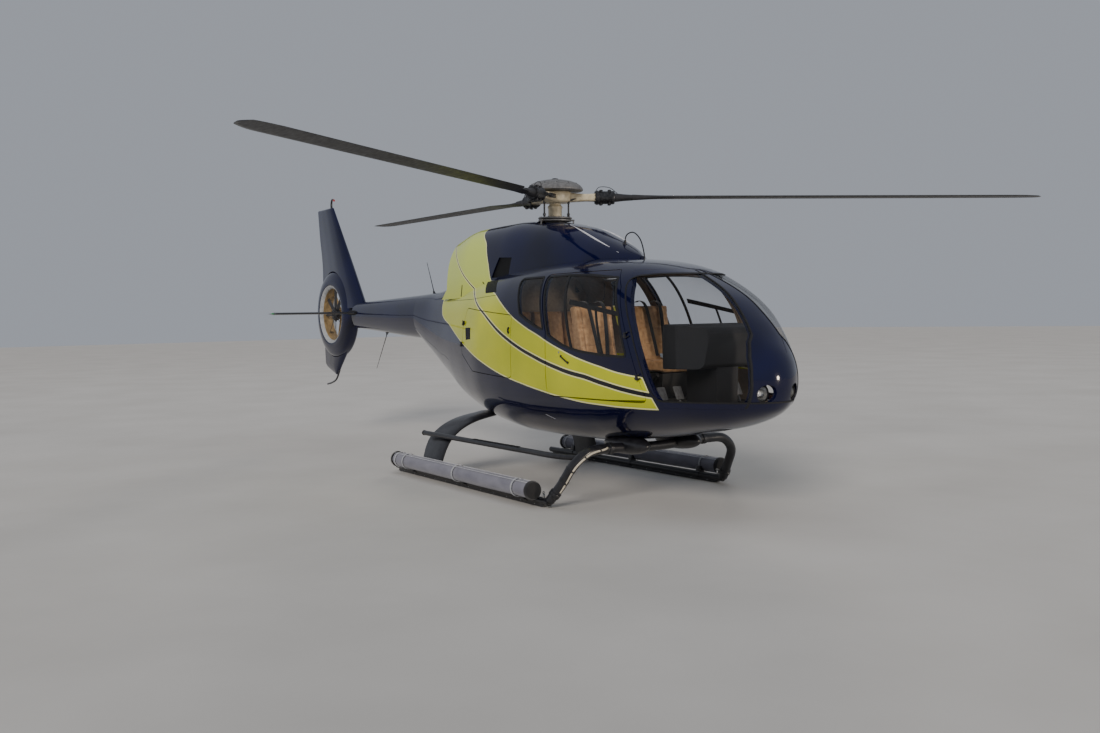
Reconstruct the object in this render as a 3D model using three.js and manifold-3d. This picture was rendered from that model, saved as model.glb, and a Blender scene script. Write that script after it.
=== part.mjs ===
// Light five-seat helicopter parked on skids: three-blade main rotor, ducted tail rotor.
// Millimetres, +X forward, +Y to port, +Z up. The ground is z = 0. Inside the model the mast stands
// at x = 0, y = 0; the whole group is then moved so that the origin lies below the middle of its box.

import * as THREE from 'three';
import { mergeVertices } from 'three/addons/utils/BufferGeometryUtils.js';
import Module from 'manifold-3d';

const wasm = await Module();
wasm.setup();

// Driving dimensions

const noseX = 3050;
const tailX = -6550;
const boxMiddleX = (noseX + tailX) / 2;

const rotorRadius = 5000;
const bladeAngles = [56, 175.5, 304];
// The mast stands on the gearbox at this place and leans forward by this many degrees.
const mastFoot = { x: -85, z: 2520 };
const mastLean = 1.6;
const bladeRootZ = 2893;
const bladeTipZ = 2897;

const skidY = 1035;
const cabinFloorZ = 915;
const cabinRoofZ = 2060;

const wall = 35;
const glassThickness = 8;
const seam = 0.3;
const doorGap = 6;
const hatchGap = 7;

// Hull sections, from the nose back.
// columns: x, top z, bottom z, half width, z of the widest place, exponent above it, exponent below it

const hullTable = [
  [3050, 1130, 1130, 0, 1130, 2.1, 2.1],
  [3000, 1330, 925, 175, 1130, 2.1, 2.1],
  [2900, 1465, 850, 310, 1135, 2.15, 2.15],
  [2740, 1650, 785, 435, 1145, 2.25, 2.2],
  [2550, 1815, 730, 550, 1160, 2.4, 2.3],
  [2250, 1975, 670, 650, 1185, 2.6, 2.4],
  [2000, 2070, 625, 700, 1200, 2.8, 2.5],
  [1700, 2140, 580, 735, 1210, 3.0, 2.6],
  [1400, 2180, 545, 748, 1215, 3.1, 2.7],
  [1000, 2210, 510, 750, 1220, 3.2, 2.7],
  [500, 2215, 500, 750, 1225, 3.2, 2.7],
  [0, 2210, 500, 740, 1230, 3.0, 2.6],
  [-500, 2195, 540, 700, 1250, 2.8, 2.5],
  [-1000, 2165, 620, 600, 1300, 2.6, 2.4],
  [-1500, 2125, 740, 480, 1370, 2.5, 2.3],
  [-2000, 2075, 950, 360, 1470, 2.4, 2.2],
  [-2500, 2010, 1200, 265, 1590, 2.3, 2.2],
  [-2950, 1990, 1430, 208, 1710, 2.2, 2.2],
];
const hullEndX = -2950;
const hullRingCount = 22;
const hullRingPoints = 28;

// Upper cowl over gearbox and engine, from its front edge back.
// columns: x, top z, half width at the base, exponent

const cowlTable = [
  [1320, 2215, 60, 2.2],
  [1150, 2300, 240, 2.3],
  [900, 2410, 330, 2.4],
  [500, 2550, 390, 2.6],
  [0, 2640, 420, 2.8],
  [-500, 2680, 440, 2.9],
  [-1200, 2672, 430, 2.9],
  [-1700, 2600, 372, 2.7],
  [-2100, 2470, 310, 2.6],
];
const cowlBaseZ = 1900;
const cowlSplitX = -1060;
// What is cut away behind the cowl: its rear face is nearly upright and runs out low on the hull.
const cowlRearCut = [
  [-1690, 2750], [-1705, 2520], [-1775, 2010], [-1965, 1890], [-2300, 1890], [-2300, 2750],
];

// Tail boom sections.
// columns: x, top z, bottom z, half width

const boomTable = [
  [-2950.3, 1990, 1430, 208],
  [-3500, 1975, 1462, 186],
  [-4400, 1952, 1528, 150],
  [-5080, 1936, 1570, 125],
];

const ductX = -5890;
const ductZ = 1780;
const ductRadius = 375;
const shroudRadius = 640;

// Shroud section round the duct axis: radius, distance from the mid plane.

const shroudProfile = [
  [375, 45], [392, 88], [440, 118], [520, 110], [600, 80], [640, 30],
  [640, -30], [600, -80], [520, -110], [440, -118], [392, -88], [375, -45],
];

// Fins, from the boom outwards.
// columns: z, leading edge x, trailing edge x, thickness

const upperFinTable = [
  [1860, -4866, -6430, 226],
  [2440, -5278, -6400, 178],
  [3000, -5676, -6496, 108],
  [3380, -5950, -6550, 62],
];
const lowerFinTable = [
  [1620, -4950, -6430, 190],
  [1520, -5020, -6425, 180],
  [1300, -5470, -6410, 140],
  [1040, -5770, -6400, 90],
  [870, -5945, -6010, 46],
];

const stabiliser = { x: -5040, z: 1790, chord: 300, thickness: 34, tipY: 1300, rootY: 110 };
const tailSkidPath = [[-5870, 940], [-6010, 800], [-6180, 742], [-6360, 712]];

// Landing gear

const skidTubeRadius = 32;
const skidZ = 52;
const skidX = [-1760, 1250];
const crossTubeRadius = 44;
// half of the front cross tube, foot first: x, y, z
const frontTubePath = [
  [1262, 1032, 70], [1375, 985, 215], [1478, 935, 380], [1510, 800, 492], [1500, 600, 508], [1500, 0, 488],
];
// the hose that runs down the front of the right front leg to the float: x, y, z
const floatHosePath = [
  [1376, -1002, 150], [1424, -985, 215], [1527, -935, 380],
  [1560, -800, 484], [1552, -640, 512], [1535, -600, 520],
];
const floatHoseRadius = 9;
// half of the rear cross tube, foot first: y, z, x of its front edge, x of its rear edge
const rearLegTable = [
  [1012, 66, -795, -1205],
  [996, 190, -785, -1212],
  [918, 385, -762, -1218],
  [800, 500, -758, -1205],
  [620, 588, -752, -1185],
  [300, 655, -755, -1150],
];
const fairingSize = [300, 120, 90];
const fairingPlace = [1430, 300, 520];
const floatRadius = 84;
const floatY = 1127;
const floatZ = 152;
const floatX = [-1600, 1160];
const stepX = [-1240, 1492];
const stepZ = 452;

// Aerials and the light on the fin, as thin rods along a path: x, z

const rodRadius = 6;
const rods = [
  { name: 'boom_whip_top', path: [[-2772, 1994], [-2790, 2035], [-2870, 2215], [-2950, 2390]] },
  { name: 'boom_whip_below', path: [[-4170, 1511], [-4195, 1470], [-4360, 1250], [-4540, 1010]] },
  {
    name: 'roof_whip',
    path: [[1060, 2340], [1090, 2420], [1190, 2440], [1290, 2370], [1345, 2235], [1350, 2183]],
  },
];
const finLight = { x: -5955, height: 130, radius: 16, hookX: 40 };

// Mesh helpers

function solid(geometry) {
  const bare = geometry.clone();
  for (const name of Object.keys(bare.attributes)) {
    if (name !== 'position') bare.deleteAttribute(name);
  }
  const merged = mergeVertices(bare, 1e-4);
  const vertProperties = new Float32Array(merged.attributes.position.array);
  const triVerts = new Uint32Array(merged.index.array);
  const made = new wasm.Manifold(new wasm.Mesh({ numProp: 3, vertProperties, triVerts }));
  if (made.volume() > 0) return made;
  triVerts.reverse();
  return new wasm.Manifold(new wasm.Mesh({ numProp: 3, vertProperties, triVerts }));
}

function geometryOf(manifold) {
  const mesh = manifold.getMesh();
  const points = new Float32Array(mesh.numVert * 3);
  for (let i = 0; i < mesh.numVert; i += 1) {
    for (let k = 0; k < 3; k += 1) {
      points[i * 3 + k] = mesh.vertProperties[i * mesh.numProp + k];
    }
  }
  const geometry = new THREE.BufferGeometry();
  geometry.setAttribute('position', new THREE.BufferAttribute(points, 3));
  geometry.setIndex(new THREE.BufferAttribute(new Uint32Array(mesh.triVerts), 1));
  geometry.computeVertexNormals();
  return geometry;
}

function join(solids) {
  return solids.reduce((sum, next) => sum.add(next));
}

// A closed loft through rings that all have the same number of points.
function loft(rings) {
  const count = rings[0].length;
  const points = rings.flat();
  const index = [];
  for (let r = 0; r + 1 < rings.length; r += 1) {
    for (let k = 0; k < count; k += 1) {
      const a = r * count + k;
      const b = r * count + (k + 1) % count;
      index.push(a, b, b + count, a, b + count, a + count);
    }
  }
  for (const [ring, turn] of [[0, true], [rings.length - 1, false]]) {
    const middle = new THREE.Vector3();
    rings[ring].forEach((point) => middle.add(point));
    points.push(middle.divideScalar(count));
    for (let k = 0; k < count; k += 1) {
      const a = ring * count + k;
      const b = ring * count + (k + 1) % count;
      index.push(points.length - 1, turn ? b : a, turn ? a : b);
    }
  }
  const geometry = new THREE.BufferGeometry().setFromPoints(points);
  geometry.setIndex(index);
  return solid(geometry);
}

// Smooth monotone interpolation of one table column, in the parameter t of each row.
function curveThrough(ts, values) {
  const count = ts.length;
  const slopes = [];
  for (let i = 0; i + 1 < count; i += 1) {
    slopes.push((values[i + 1] - values[i]) / (ts[i + 1] - ts[i]));
  }
  const tangents = [slopes[0]];
  for (let i = 1; i + 1 < count; i += 1) {
    const product = slopes[i - 1] * slopes[i];
    tangents.push(product > 0 ? (2 * product) / (slopes[i - 1] + slopes[i]) : 0);
  }
  tangents.push(slopes[count - 2]);
  return (t) => {
    let i = 0;
    while (i + 2 < count && t > ts[i + 1]) i += 1;
    const h = ts[i + 1] - ts[i];
    const u = (t - ts[i]) / h;
    const [u2, u3] = [u * u, u * u * u];
    return values[i] * (2 * u3 - 3 * u2 + 1) + tangents[i] * h * (u3 - 2 * u2 + u)
      + values[i + 1] * (3 * u2 - 2 * u3) + tangents[i + 1] * h * (u3 - u2);
  };
}

function power(value, exponent) {
  return Math.sign(value) * Math.abs(value) ** exponent;
}

// Hull surface

const hullCurves = [1, 2, 3, 4, 5, 6].map((column) => curveThrough(
  hullTable.map((row) => Math.sqrt(noseX - row[0])),
  hullTable.map((row) => row[column]),
));

// The hull at depth s (the square root of the distance behind the nose) and angle a round the section.
function hullPoint(s, a) {
  const [top, bottom, half, widest, above, below] = hullCurves.map((curve) => curve(s));
  const exponent = Math.sin(a) > 0 ? above : below;
  const reach = Math.sin(a) > 0 ? top - widest : widest - bottom;
  return new THREE.Vector3(
    noseX - s * s,
    half * power(Math.cos(a), 2 / exponent),
    widest + reach * power(Math.sin(a), 2 / exponent),
  );
}

// Half width of the hull at a place on its side.
function hullSideY(x, z) {
  const [top, bottom, half, widest, above, below] = hullCurves.map((curve) => curve(Math.sqrt(noseX - x)));
  const exponent = z > widest ? above : below;
  const reach = z > widest ? top - widest : widest - bottom;
  return half * (1 - Math.abs((z - widest) / reach) ** exponent) ** (1 / exponent);
}

function hullPointInset(s, a, inset) {
  const point = hullPoint(s, a);
  if (inset === 0) return point;
  const step = 0.02;
  const along = hullPoint(s + step, a).sub(hullPoint(s - step, a));
  const around = hullPoint(s, a + step).sub(hullPoint(s, a - step));
  const outward = along.cross(around).normalize();
  return point.addScaledVector(outward, -inset);
}

function hullSolid(inset) {
  const rings = [];
  const sLast = Math.sqrt(noseX - hullEndX);
  for (let r = 0; r <= hullRingCount; r += 1) {
    const s = Math.max(r / hullRingCount, 0.012) * sLast;
    const ring = [];
    for (let k = 0; k < hullRingPoints; k += 1) {
      ring.push(hullPointInset(s, ((k + 0.5) / hullRingPoints) * 2 * Math.PI, inset));
    }
    rings.push(ring);
  }
  if (inset > 0) {
    rings.push(rings[hullRingCount].map((point) => point.clone().setX(hullEndX - 60)));
  }
  return loft(rings);
}

// Cutting shapes

function prism(outline, depth) {
  const shape = new THREE.Shape(outline.map(([a, b]) => new THREE.Vector2(a, b)));
  return new THREE.ExtrudeGeometry(shape, { depth, bevelEnabled: false });
}

// An outline of x and z, extruded from y0 to y1.
function sidePrism(outline, y0, y1) {
  const geometry = prism(outline, y1 - y0);
  geometry.rotateX(Math.PI / 2);
  geometry.translate(0, y1, 0);
  return solid(geometry);
}

// An outline of y and z, extruded from x0 to x1.
function frontPrism(outline, x0, x1) {
  const geometry = prism(outline, x1 - x0);
  geometry.rotateY(Math.PI / 2);
  geometry.rotateX(Math.PI / 2);
  geometry.translate(x0, 0, 0);
  return solid(geometry);
}

function slab(x0, x1, y0, y1, z0, z1) {
  const geometry = new THREE.BoxGeometry(x1 - x0, y1 - y0, z1 - z0);
  geometry.translate((x0 + x1) / 2, (y0 + y1) / 2, (z0 + z1) / 2);
  return solid(geometry);
}

function signedArea(outline) {
  return outline.reduce((sum, [a, b], i) => {
    const [c, d] = outline[(i + 1) % outline.length];
    return sum + (a * d - b * c) / 2;
  }, 0);
}

// The outline with its edges moved outwards by distance.
function grow(outline, distance) {
  const turn = Math.sign(signedArea(outline));
  return outline.map((point, i) => {
    const before = outline[(i + outline.length - 1) % outline.length];
    const after = outline[(i + 1) % outline.length];
    const e1 = new THREE.Vector2(point[0] - before[0], point[1] - before[1]).normalize();
    const e2 = new THREE.Vector2(after[0] - point[0], after[1] - point[1]).normalize();
    const n1 = new THREE.Vector2(e1.y, -e1.x);
    const n2 = new THREE.Vector2(e2.y, -e2.x);
    const miter = n1.add(n2).multiplyScalar(1 / (1 + e1.dot(e2)));
    return [point[0] + turn * distance * miter.x, point[1] + turn * distance * miter.y];
  });
}

// The outline with every corner rounded: corners are [a, b, radius].
function rounded(corners, steps = 3) {
  const points = [];
  corners.forEach(([a, b, radius], i) => {
    if (radius === 0) {
      points.push([a, b]);
      return;
    }
    const before = corners[(i + corners.length - 1) % corners.length];
    const after = corners[(i + 1) % corners.length];
    const corner = new THREE.Vector2(a, b);
    const toBefore = new THREE.Vector2(before[0], before[1]).sub(corner).normalize();
    const toAfter = new THREE.Vector2(after[0], after[1]).sub(corner).normalize();
    const halfAngle = Math.acos(THREE.MathUtils.clamp(toBefore.dot(toAfter), -1, 1)) / 2;
    const longest = 0.48 * Math.min(
      Math.hypot(before[0] - a, before[1] - b),
      Math.hypot(after[0] - a, after[1] - b),
    );
    const reach = Math.min(radius / Math.tan(halfAngle), longest);
    const start = corner.clone().addScaledVector(toBefore, reach);
    const end = corner.clone().addScaledVector(toAfter, reach);
    const curve = new THREE.QuadraticBezierCurve(start, corner, end);
    curve.getPoints(steps).forEach((p) => points.push([p.x, p.y]));
  });
  return points;
}

const mirrorY = (outline) => outline.map(([y, z]) => [-y, z]).reverse();

// Cabin shell and its seams

const hullOuter = hullSolid(0);
const hullInner = hullSolid(wall);
const shell = hullOuter.subtract(hullInner);
const glassShell = hullSolid(3).subtract(hullSolid(3 + glassThickness));

const sideBack = -1300;
const hullReach = 1200;

// The pillar between door and canopy leans back: its front edge, from sill to roof (x, z).
const pillarFront = [[2285, cabinFloorZ], [2190, 1140], [2030, 1550], [1862, 1920], [1745, cabinRoofZ]];
const pillarWidth = 105;
// The lower edge of the roof panel, from its front end back (x, z).
const railZ = 2102;
const roofEdge = [[3200, cabinRoofZ], [1745, cabinRoofZ], [1640, railZ], [sideBack, railZ]];
// The rear edge of the door opening, from the sill up (x, z).
const doorSillZ = 945;
const doorHeadZ = 2074;
const doorRear = { lowX: 802, bendZ: 1530, headX: 606 };
const doorRearCorner = [doorRear.lowX, doorRear.bendZ];
const frameRearX = 900;

const canopyOutline = [...pillarFront, [3200, cabinRoofZ], [3200, cabinFloorZ]];
const frameOutline = [
  ...pillarFront.map(([x, z]) => [x - seam, z]),
  [1640, railZ],
  [frameRearX, railZ],
  [frameRearX, cabinFloorZ],
];
const doorOpening = rounded([
  [doorRear.lowX, doorSillZ, 90],
  [2262 - pillarWidth, doorSillZ, 120],
  [2190 - pillarWidth, 1140, 0],
  [2030 - pillarWidth, 1550, 0],
  [1862 - pillarWidth, 1920, 0],
  [1715 - pillarWidth, doorHeadZ, 60],
  [doorRear.headX, doorHeadZ, 50],
  [...doorRearCorner, 0],
]);
// The leaf ends above the sill, higher towards the hinge, because the leaning hinge dips that corner.
// Its rear edge keeps a wider gap, because the thick wall swings back a little as it opens.
const doorRearGap = 12;
const doorAboveSill = [
  [doorRear.lowX + doorRearGap, doorSillZ + 8],
  [1700, doorSillZ + 12],
  [2200, doorSillZ + 29],
  [2200, railZ],
  [doorRear.headX + 62, railZ],
  [doorRear.headX + 36, 2030],
  [doorRear.lowX + doorRearGap, doorRear.bendZ + 4],
];
const doorWindow = rounded([
  [842, 1506, 26],
  [1050, 1425, 0],
  [1200, 1390, 0],
  [1330, 1368, 0],
  [1640, 1340, 0],
  [1948, 1326, 30],
  [1905, 1450, 0],
  [1829, 1677, 0],
  [1660, 2000, 26],
  [1290, 2040, 0],
  [1010, 2052, 0],
  [648, 2052, 30],
]);
const quarterWindow = rounded([
  [768, 1552, 22],
  [622, 1590, 0],
  [452, 1655, 0],
  [338, 1705, 45],
  [150, 2052, 40],
  [574, 2052, 30],
]);
const slidingSillZ = 960;
const slidingDoorOpening = rounded([
  [-180, slidingSillZ, 120],
  [738, slidingSillZ, 90],
  [738, doorRear.bendZ, 0],
  [548, 2060, 50],
  [60, 2060, 90],
  [-180, 1760, 90],
]);
const slidingDoorWindow = rounded([
  [40, 1560, 60],
  [400, 1530, 0],
  [696, 1500, 45],
  [694, 1545, 0],
  [514, 2034, 45],
  [140, 2034, 70],
  [10, 1800, 60],
]);
const baggageOpening = rounded([
  [200, 1080, 60],
  [200, 1700, 50],
  [-960, 1790, 60],
  [-1060, 1300, 70],
  [-700, 1120, 90],
]);

// Hinges of the doors, on the skin in the gap beside the leaf: x and z of the lower and upper one,
// and the side on which the fixed frame lies (1 is ahead of the hinge).

const doorHinge = { low: [2074, 1160], high: [1939, 1506], frameSide: 1 };
const baggageHinge = { low: [-1036, 1400], high: [-990, 1626], frameSide: -1 };
const hingePinRadius = 6;
const hingeBarrelRadius = 11;
const hingeLength = 48;
const hingeStandOff = 12;
const hingeLugReach = 36;

// Nose cap and centre post, seen from the front: half width at each height (y, z).
const noseHalf = [[250, cabinFloorZ], [255, 1180], [240, 1330], [200, 1440], [150, 1500]];
const postHalf = [[150, 1500], [100, 1750], [52, 1950], [26, cabinRoofZ]];
const frontBand = (half) => [...half, ...mirrorY(half)];
const nosePrism = frontPrism(frontBand(noseHalf), 2300, 3200);
const postPrism = frontPrism(frontBand(postHalf.map(([y, z], i) => [y, i === 0 ? z + seam : z])), 1700, 3200);
const bandCut = frontPrism(frontBand([
  ...noseHalf.map(([y, z]) => [y + seam, z]),
  ...postHalf.slice(1).map(([y, z]) => [y + seam, z]),
]), 1700, 3200);

const zones = {
  belly: slab(sideBack, 3200, -hullReach, hullReach, 0, cabinFloorZ - seam),
  roof: sidePrism(
    [...roofEdge.map(([x, z]) => [x, z + seam]), [sideBack, 2600], [3200, 2600]],
    -hullReach,
    hullReach,
  ),
};

const sides = [
  { name: 'right', sign: -1 },
  { name: 'left', sign: 1 },
];

function sideSpan(outline, sign) {
  return sign < 0 ? sidePrism(outline, -hullReach, -1) : sidePrism(outline, 1, hullReach);
}

// The place on the hinge line that is outboard of the skin at x and z.
function hingePoint([x, z], sign) {
  return new THREE.Vector3(x, sign * (hullSideY(x, z) + hingeStandOff), z);
}

// The frame of a hinge line at one of its two places: X ahead, Y outboard, Z along the line.
function hingeFrame(hinge, place, sign) {
  const [low, high] = [hingePoint(hinge.low, sign), hingePoint(hinge.high, sign)];
  const up = high.clone().sub(low).normalize();
  const outboard = new THREE.Vector3(0, sign, 0).addScaledVector(up, -sign * up.y).normalize();
  const ahead = outboard.clone().cross(up).multiplyScalar(sign);
  return new THREE.Matrix4().makeBasis(ahead, outboard, up).setPosition(place === 'low' ? low : high);
}

// One knuckle: a barrel from z0 to z1 with a lug that reaches ahead (1) or behind (-1) to the skin.
function knuckle(frame, z0, z1, side) {
  const barrel = new THREE.CylinderGeometry(hingeBarrelRadius, hingeBarrelRadius, z1 - z0, 14);
  barrel.rotateX(Math.PI / 2);
  barrel.translate(0, 0, (z0 + z1) / 2);
  const lugDepth = hingeStandOff + 8;
  const lug = new THREE.BoxGeometry(hingeLugReach, lugDepth, z1 - z0);
  lug.translate((side * hingeLugReach) / 2, -lugDepth / 2, (z0 + z1) / 2);
  return join([solid(barrel.applyMatrix4(frame)), solid(lug.applyMatrix4(frame))]);
}

function hingePin(frame, radius, length) {
  const pin = new THREE.CylinderGeometry(radius, radius, length, 12);
  pin.rotateX(Math.PI / 2);
  return solid(pin.applyMatrix4(frame));
}

// What the hinges add to the fixed side: a pin between two knuckles.
function hingeFixed(hinge, sign) {
  const [outer, inner] = [hingeLength / 2, hingeLength / 4];
  return join(['low', 'high'].flatMap((place) => {
    const frame = hingeFrame(hinge, place, sign);
    return [
      hingePin(frame, hingePinRadius, hingeLength),
      knuckle(frame, -outer, -inner, hinge.frameSide),
      knuckle(frame, inner, outer, hinge.frameSide),
    ];
  }));
}

// What the hinges add to the leaf: the middle knuckle, bored for the pin.
function hingeMoving(hinge, sign) {
  const inner = hingeLength / 4 - seam;
  return join(['low', 'high'].map((place) => {
    const frame = hingeFrame(hinge, place, sign);
    return knuckle(frame, -inner, inner, -hinge.frameSide)
      .subtract(hingePin(frame, hingePinRadius + seam, hingeLength));
  }));
}

const meshes = [];

function material(color, roughness = 0.4, metalness = 0) {
  return new THREE.MeshStandardMaterial({ color, roughness, metalness });
}

const paint = {
  navy: material(0x0b1230, 0.2),
  green: material(0xb9b932, 0.3),
  glass: material(0x20262c, 0.05),
  black: material(0x15161a, 0.5),
  charcoal: material(0x2b2d30, 0.6),
  metal: material(0x9a9890, 0.35, 0.7),
  cream: material(0xc9bfa4, 0.4),
  leather: material(0xb98a5c, 0.6),
  fabric: material(0x8d9098, 0.85),
  gold: material(0x9a7c4a, 0.5),
};

function add(name, shape, finish) {
  const geometry = shape instanceof THREE.BufferGeometry ? shape : geometryOf(shape);
  const mesh = new THREE.Mesh(geometry, finish);
  mesh.name = name;
  meshes.push(mesh);
  return mesh;
}

// Hull panels

const belly = shell.intersect(zones.belly);
add('belly', belly, paint.navy);
add('roof', shell.intersect(zones.roof), paint.navy);
add('nose_cap', shell.intersect(nosePrism), paint.navy);
add('centre_post', shell.intersect(postPrism), paint.navy);

const sidePanelOutline = [
  [frameRearX - seam, cabinFloorZ],
  [frameRearX - seam, railZ],
  [sideBack, railZ],
  [sideBack, cabinFloorZ],
];
const sidePanels = Object.fromEntries(sides.map(({ name, sign }) => [
  name,
  shell.intersect(sideSpan(sidePanelOutline, sign)).subtract(sideSpan(doorOpening, sign)),
]));

for (const { name, sign } of sides) {
  const canopy = glassShell.intersect(sideSpan(canopyOutline, sign)).subtract(bandCut);
  add(`canopy_${name}`, canopy, paint.glass);
  const frame = shell.intersect(sideSpan(frameOutline, sign)).subtract(sideSpan(doorOpening, sign));
  const fixedHinges = hingeFixed(doorHinge, sign).subtract(hullInner);
  add(`door_frame_${name}`, join([frame, fixedHinges]), paint.navy);
  const leaf = shell.intersect(sideSpan(grow(doorOpening, -doorGap), sign))
    .intersect(sideSpan(doorAboveSill, sign))
    .subtract(sideSpan(doorWindow, sign));
  const movingHinges = hingeMoving(doorHinge, sign).subtract(hullInner);
  add(`door_${name}`, join([leaf, movingHinges]), paint.navy);
  const pane = glassShell.intersect(sideSpan(grow(doorWindow, -seam), sign));
  add(`door_glass_${name}`, pane, paint.glass);
}

const sideRight = sidePanels.right
  .subtract(sideSpan(quarterWindow, -1))
  .subtract(sideSpan(baggageOpening, -1));
const baggageFixed = hingeFixed(baggageHinge, -1).subtract(hullInner);
add('side_panel_right', join([sideRight, baggageFixed]), paint.navy);
add('quarter_glass_right', glassShell.intersect(sideSpan(grow(quarterWindow, -seam), -1)), paint.glass);
const baggageLeaf = shell.intersect(sideSpan(grow(baggageOpening, -hatchGap), -1));
const baggageMoving = hingeMoving(baggageHinge, -1).subtract(hullInner);
add('baggage_door', join([baggageLeaf, baggageMoving]), paint.green);

const sideLeft = sidePanels.left.subtract(sideSpan(slidingDoorOpening, 1));
add('side_panel_left', sideLeft, paint.navy);
const slidingLeaf = shell.intersect(sideSpan(grow(slidingDoorOpening, -doorGap), 1))
  .subtract(sideSpan(slidingDoorWindow, 1));
const rollers = [40, 520].map((x) => (
  slab(x, x + 60, 0, hullReach, slidingSillZ + seam, slidingSillZ + 30)
)).map((block) => block.intersect(hullSolid(10)).subtract(hullInner));
add('sliding_door', join([slidingLeaf, ...rollers]), paint.navy);
add('sliding_door_glass', glassShell.intersect(sideSpan(grow(slidingDoorWindow, -seam), 1)), paint.glass);

const rearFuselage = shell.intersect(slab(hullEndX, sideBack - seam, -hullReach, hullReach, 0, 2600));
add('rear_fuselage', rearFuselage, paint.navy);

// Upper cowl

const cowlCurves = [1, 2, 3].map((column) => curveThrough(
  cowlTable.map((row) => -row[0]),
  cowlTable.map((row) => row[column]),
));
const cowlRingCount = 14;
const cowlRingPoints = 18;
const cowlMiddleZ = 2000;
const cowlEndX = -2100;
const cowlLeast = { half: 15, rise: 20 };

function cowlSolid(inset) {
  const rings = [];
  const [first, last] = [cowlTable[0][0] - inset, cowlEndX - (inset > 0 ? 40 : 0)];
  for (let r = 0; r <= cowlRingCount; r += 1) {
    const x = first + (last - first) * (r / cowlRingCount);
    const [top, halfWidth, exponent] = cowlCurves.map((curve) => curve(Math.min(-x, -cowlEndX)));
    const half = Math.max(halfWidth - inset, cowlLeast.half);
    const rise = Math.max(top - cowlMiddleZ - inset, cowlLeast.rise);
    const ring = [];
    for (let k = 0; k <= cowlRingPoints; k += 1) {
      const a = (k / cowlRingPoints) * Math.PI;
      ring.push(new THREE.Vector3(
        x,
        half * power(Math.cos(a), 2 / exponent),
        cowlMiddleZ + rise * power(Math.sin(a), 2 / exponent),
      ));
    }
    ring.push(new THREE.Vector3(x, -half, cowlBaseZ - inset));
    ring.push(new THREE.Vector3(x, half, cowlBaseZ - inset));
    rings.push(ring);
  }
  return loft(rings);
}

const cowlWall = 20;
const hullClear = hullSolid(-seam);
const mastHoleRadius = 185;
const mastHole = new THREE.CylinderGeometry(mastHoleRadius, mastHoleRadius, 600, 32);
mastHole.rotateX(Math.PI / 2);
mastHole.translate(mastFoot.x, 0, mastFoot.z + 210);
const cowl = cowlSolid(0)
  .subtract(cowlSolid(cowlWall))
  .subtract(hullClear)
  .subtract(sidePrism(cowlRearCut, -hullReach, hullReach))
  .subtract(solid(mastHole));
const cowlSpan = (x0, x1) => slab(x0, x1, -700, 700, 1800, 2800);
add('cowl_front', cowl.intersect(cowlSpan(cowlSplitX, 1500)), paint.navy);
add('cowl_rear', cowl.intersect(cowlSpan(-2300, cowlSplitX - seam)), paint.green);

// Engine, gearbox and exhaust under the cowl

const gearboxHalf = { x: 240, y: 170 };
const engineX = [-1500, -700];
const engineHalfY = 190;
const exhaustPipe = { outer: 118, inner: 108, length: 430, tilt: -97, z: 2350 };

// Shapes of the mast and head are made upright over x = 0 and lean forward over the mast's foot.
// The gearbox's top face leans with them.
const onMast = (shape) => shape
  .translate([0, 0, -mastFoot.z])
  .rotate([0, mastLean, 0])
  .translate([mastFoot.x, 0, mastFoot.z]);
const belowMast = onMast(slab(-800, 800, -800, 800, 1200, mastFoot.z));

const gearbox = slab(
  mastFoot.x - gearboxHalf.x,
  mastFoot.x + gearboxHalf.x,
  -gearboxHalf.y,
  gearboxHalf.y,
  2050,
  mastFoot.z + 20,
).intersect(belowMast).subtract(hullClear);
add('gearbox', gearbox, paint.metal);
const engineBlock = slab(...engineX, -engineHalfY, engineHalfY, 1980, 2500).subtract(hullClear);

function ringProfile(outer, inner, z0, z1) {
  return [[inner, z0], [outer, z0], [outer, z1], [inner, z1], [inner, z0]];
}

// A profile of radius and height turned round the Z axis.
function turned(profile, segments) {
  const points = profile.map(([radius, height]) => new THREE.Vector2(radius, height));
  const geometry = new THREE.LatheGeometry(points, segments);
  geometry.rotateX(Math.PI / 2);
  return solid(geometry);
}

const exhaust = turned(ringProfile(exhaustPipe.outer, exhaustPipe.inner, 0, exhaustPipe.length), 24)
  .rotate([0, exhaustPipe.tilt, 0])
  .translate([engineX[0] - 1, 0, exhaustPipe.z]);
add('engine', join([engineBlock, exhaust]), paint.metal);

// Tail boom, duct and fins

function roundRing(x, top, bottom, half, exponent, count) {
  const ring = [];
  for (let k = 0; k < count; k += 1) {
    const a = ((k + 0.5) / count) * 2 * Math.PI;
    ring.push(new THREE.Vector3(
      x,
      half * power(Math.cos(a), 2 / exponent),
      (top + bottom) / 2 + ((top - bottom) / 2) * power(Math.sin(a), 2 / exponent),
    ));
  }
  return ring;
}

const ductAxis = (geometry) => geometry.translate(ductX, 0, ductZ);

function disc(radius, halfWidth, segments) {
  return solid(ductAxis(new THREE.CylinderGeometry(radius, radius, halfWidth * 2, segments)));
}

function shroudSolid(growth) {
  const profile = grow(shroudProfile, growth);
  const points = [...profile, profile[0]].map(([r, y]) => new THREE.Vector2(r, y));
  return solid(ductAxis(new THREE.LatheGeometry(points, 36)));
}

const shroud = shroudSolid(0);
const shroudDisc = disc(shroudRadius + seam, 400, 72);
add('tail_duct', shroud, paint.navy);

const boomRings = boomTable.map(([x, top, bottom, half]) => roundRing(x, top, bottom, half, 2.2, 24));

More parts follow.
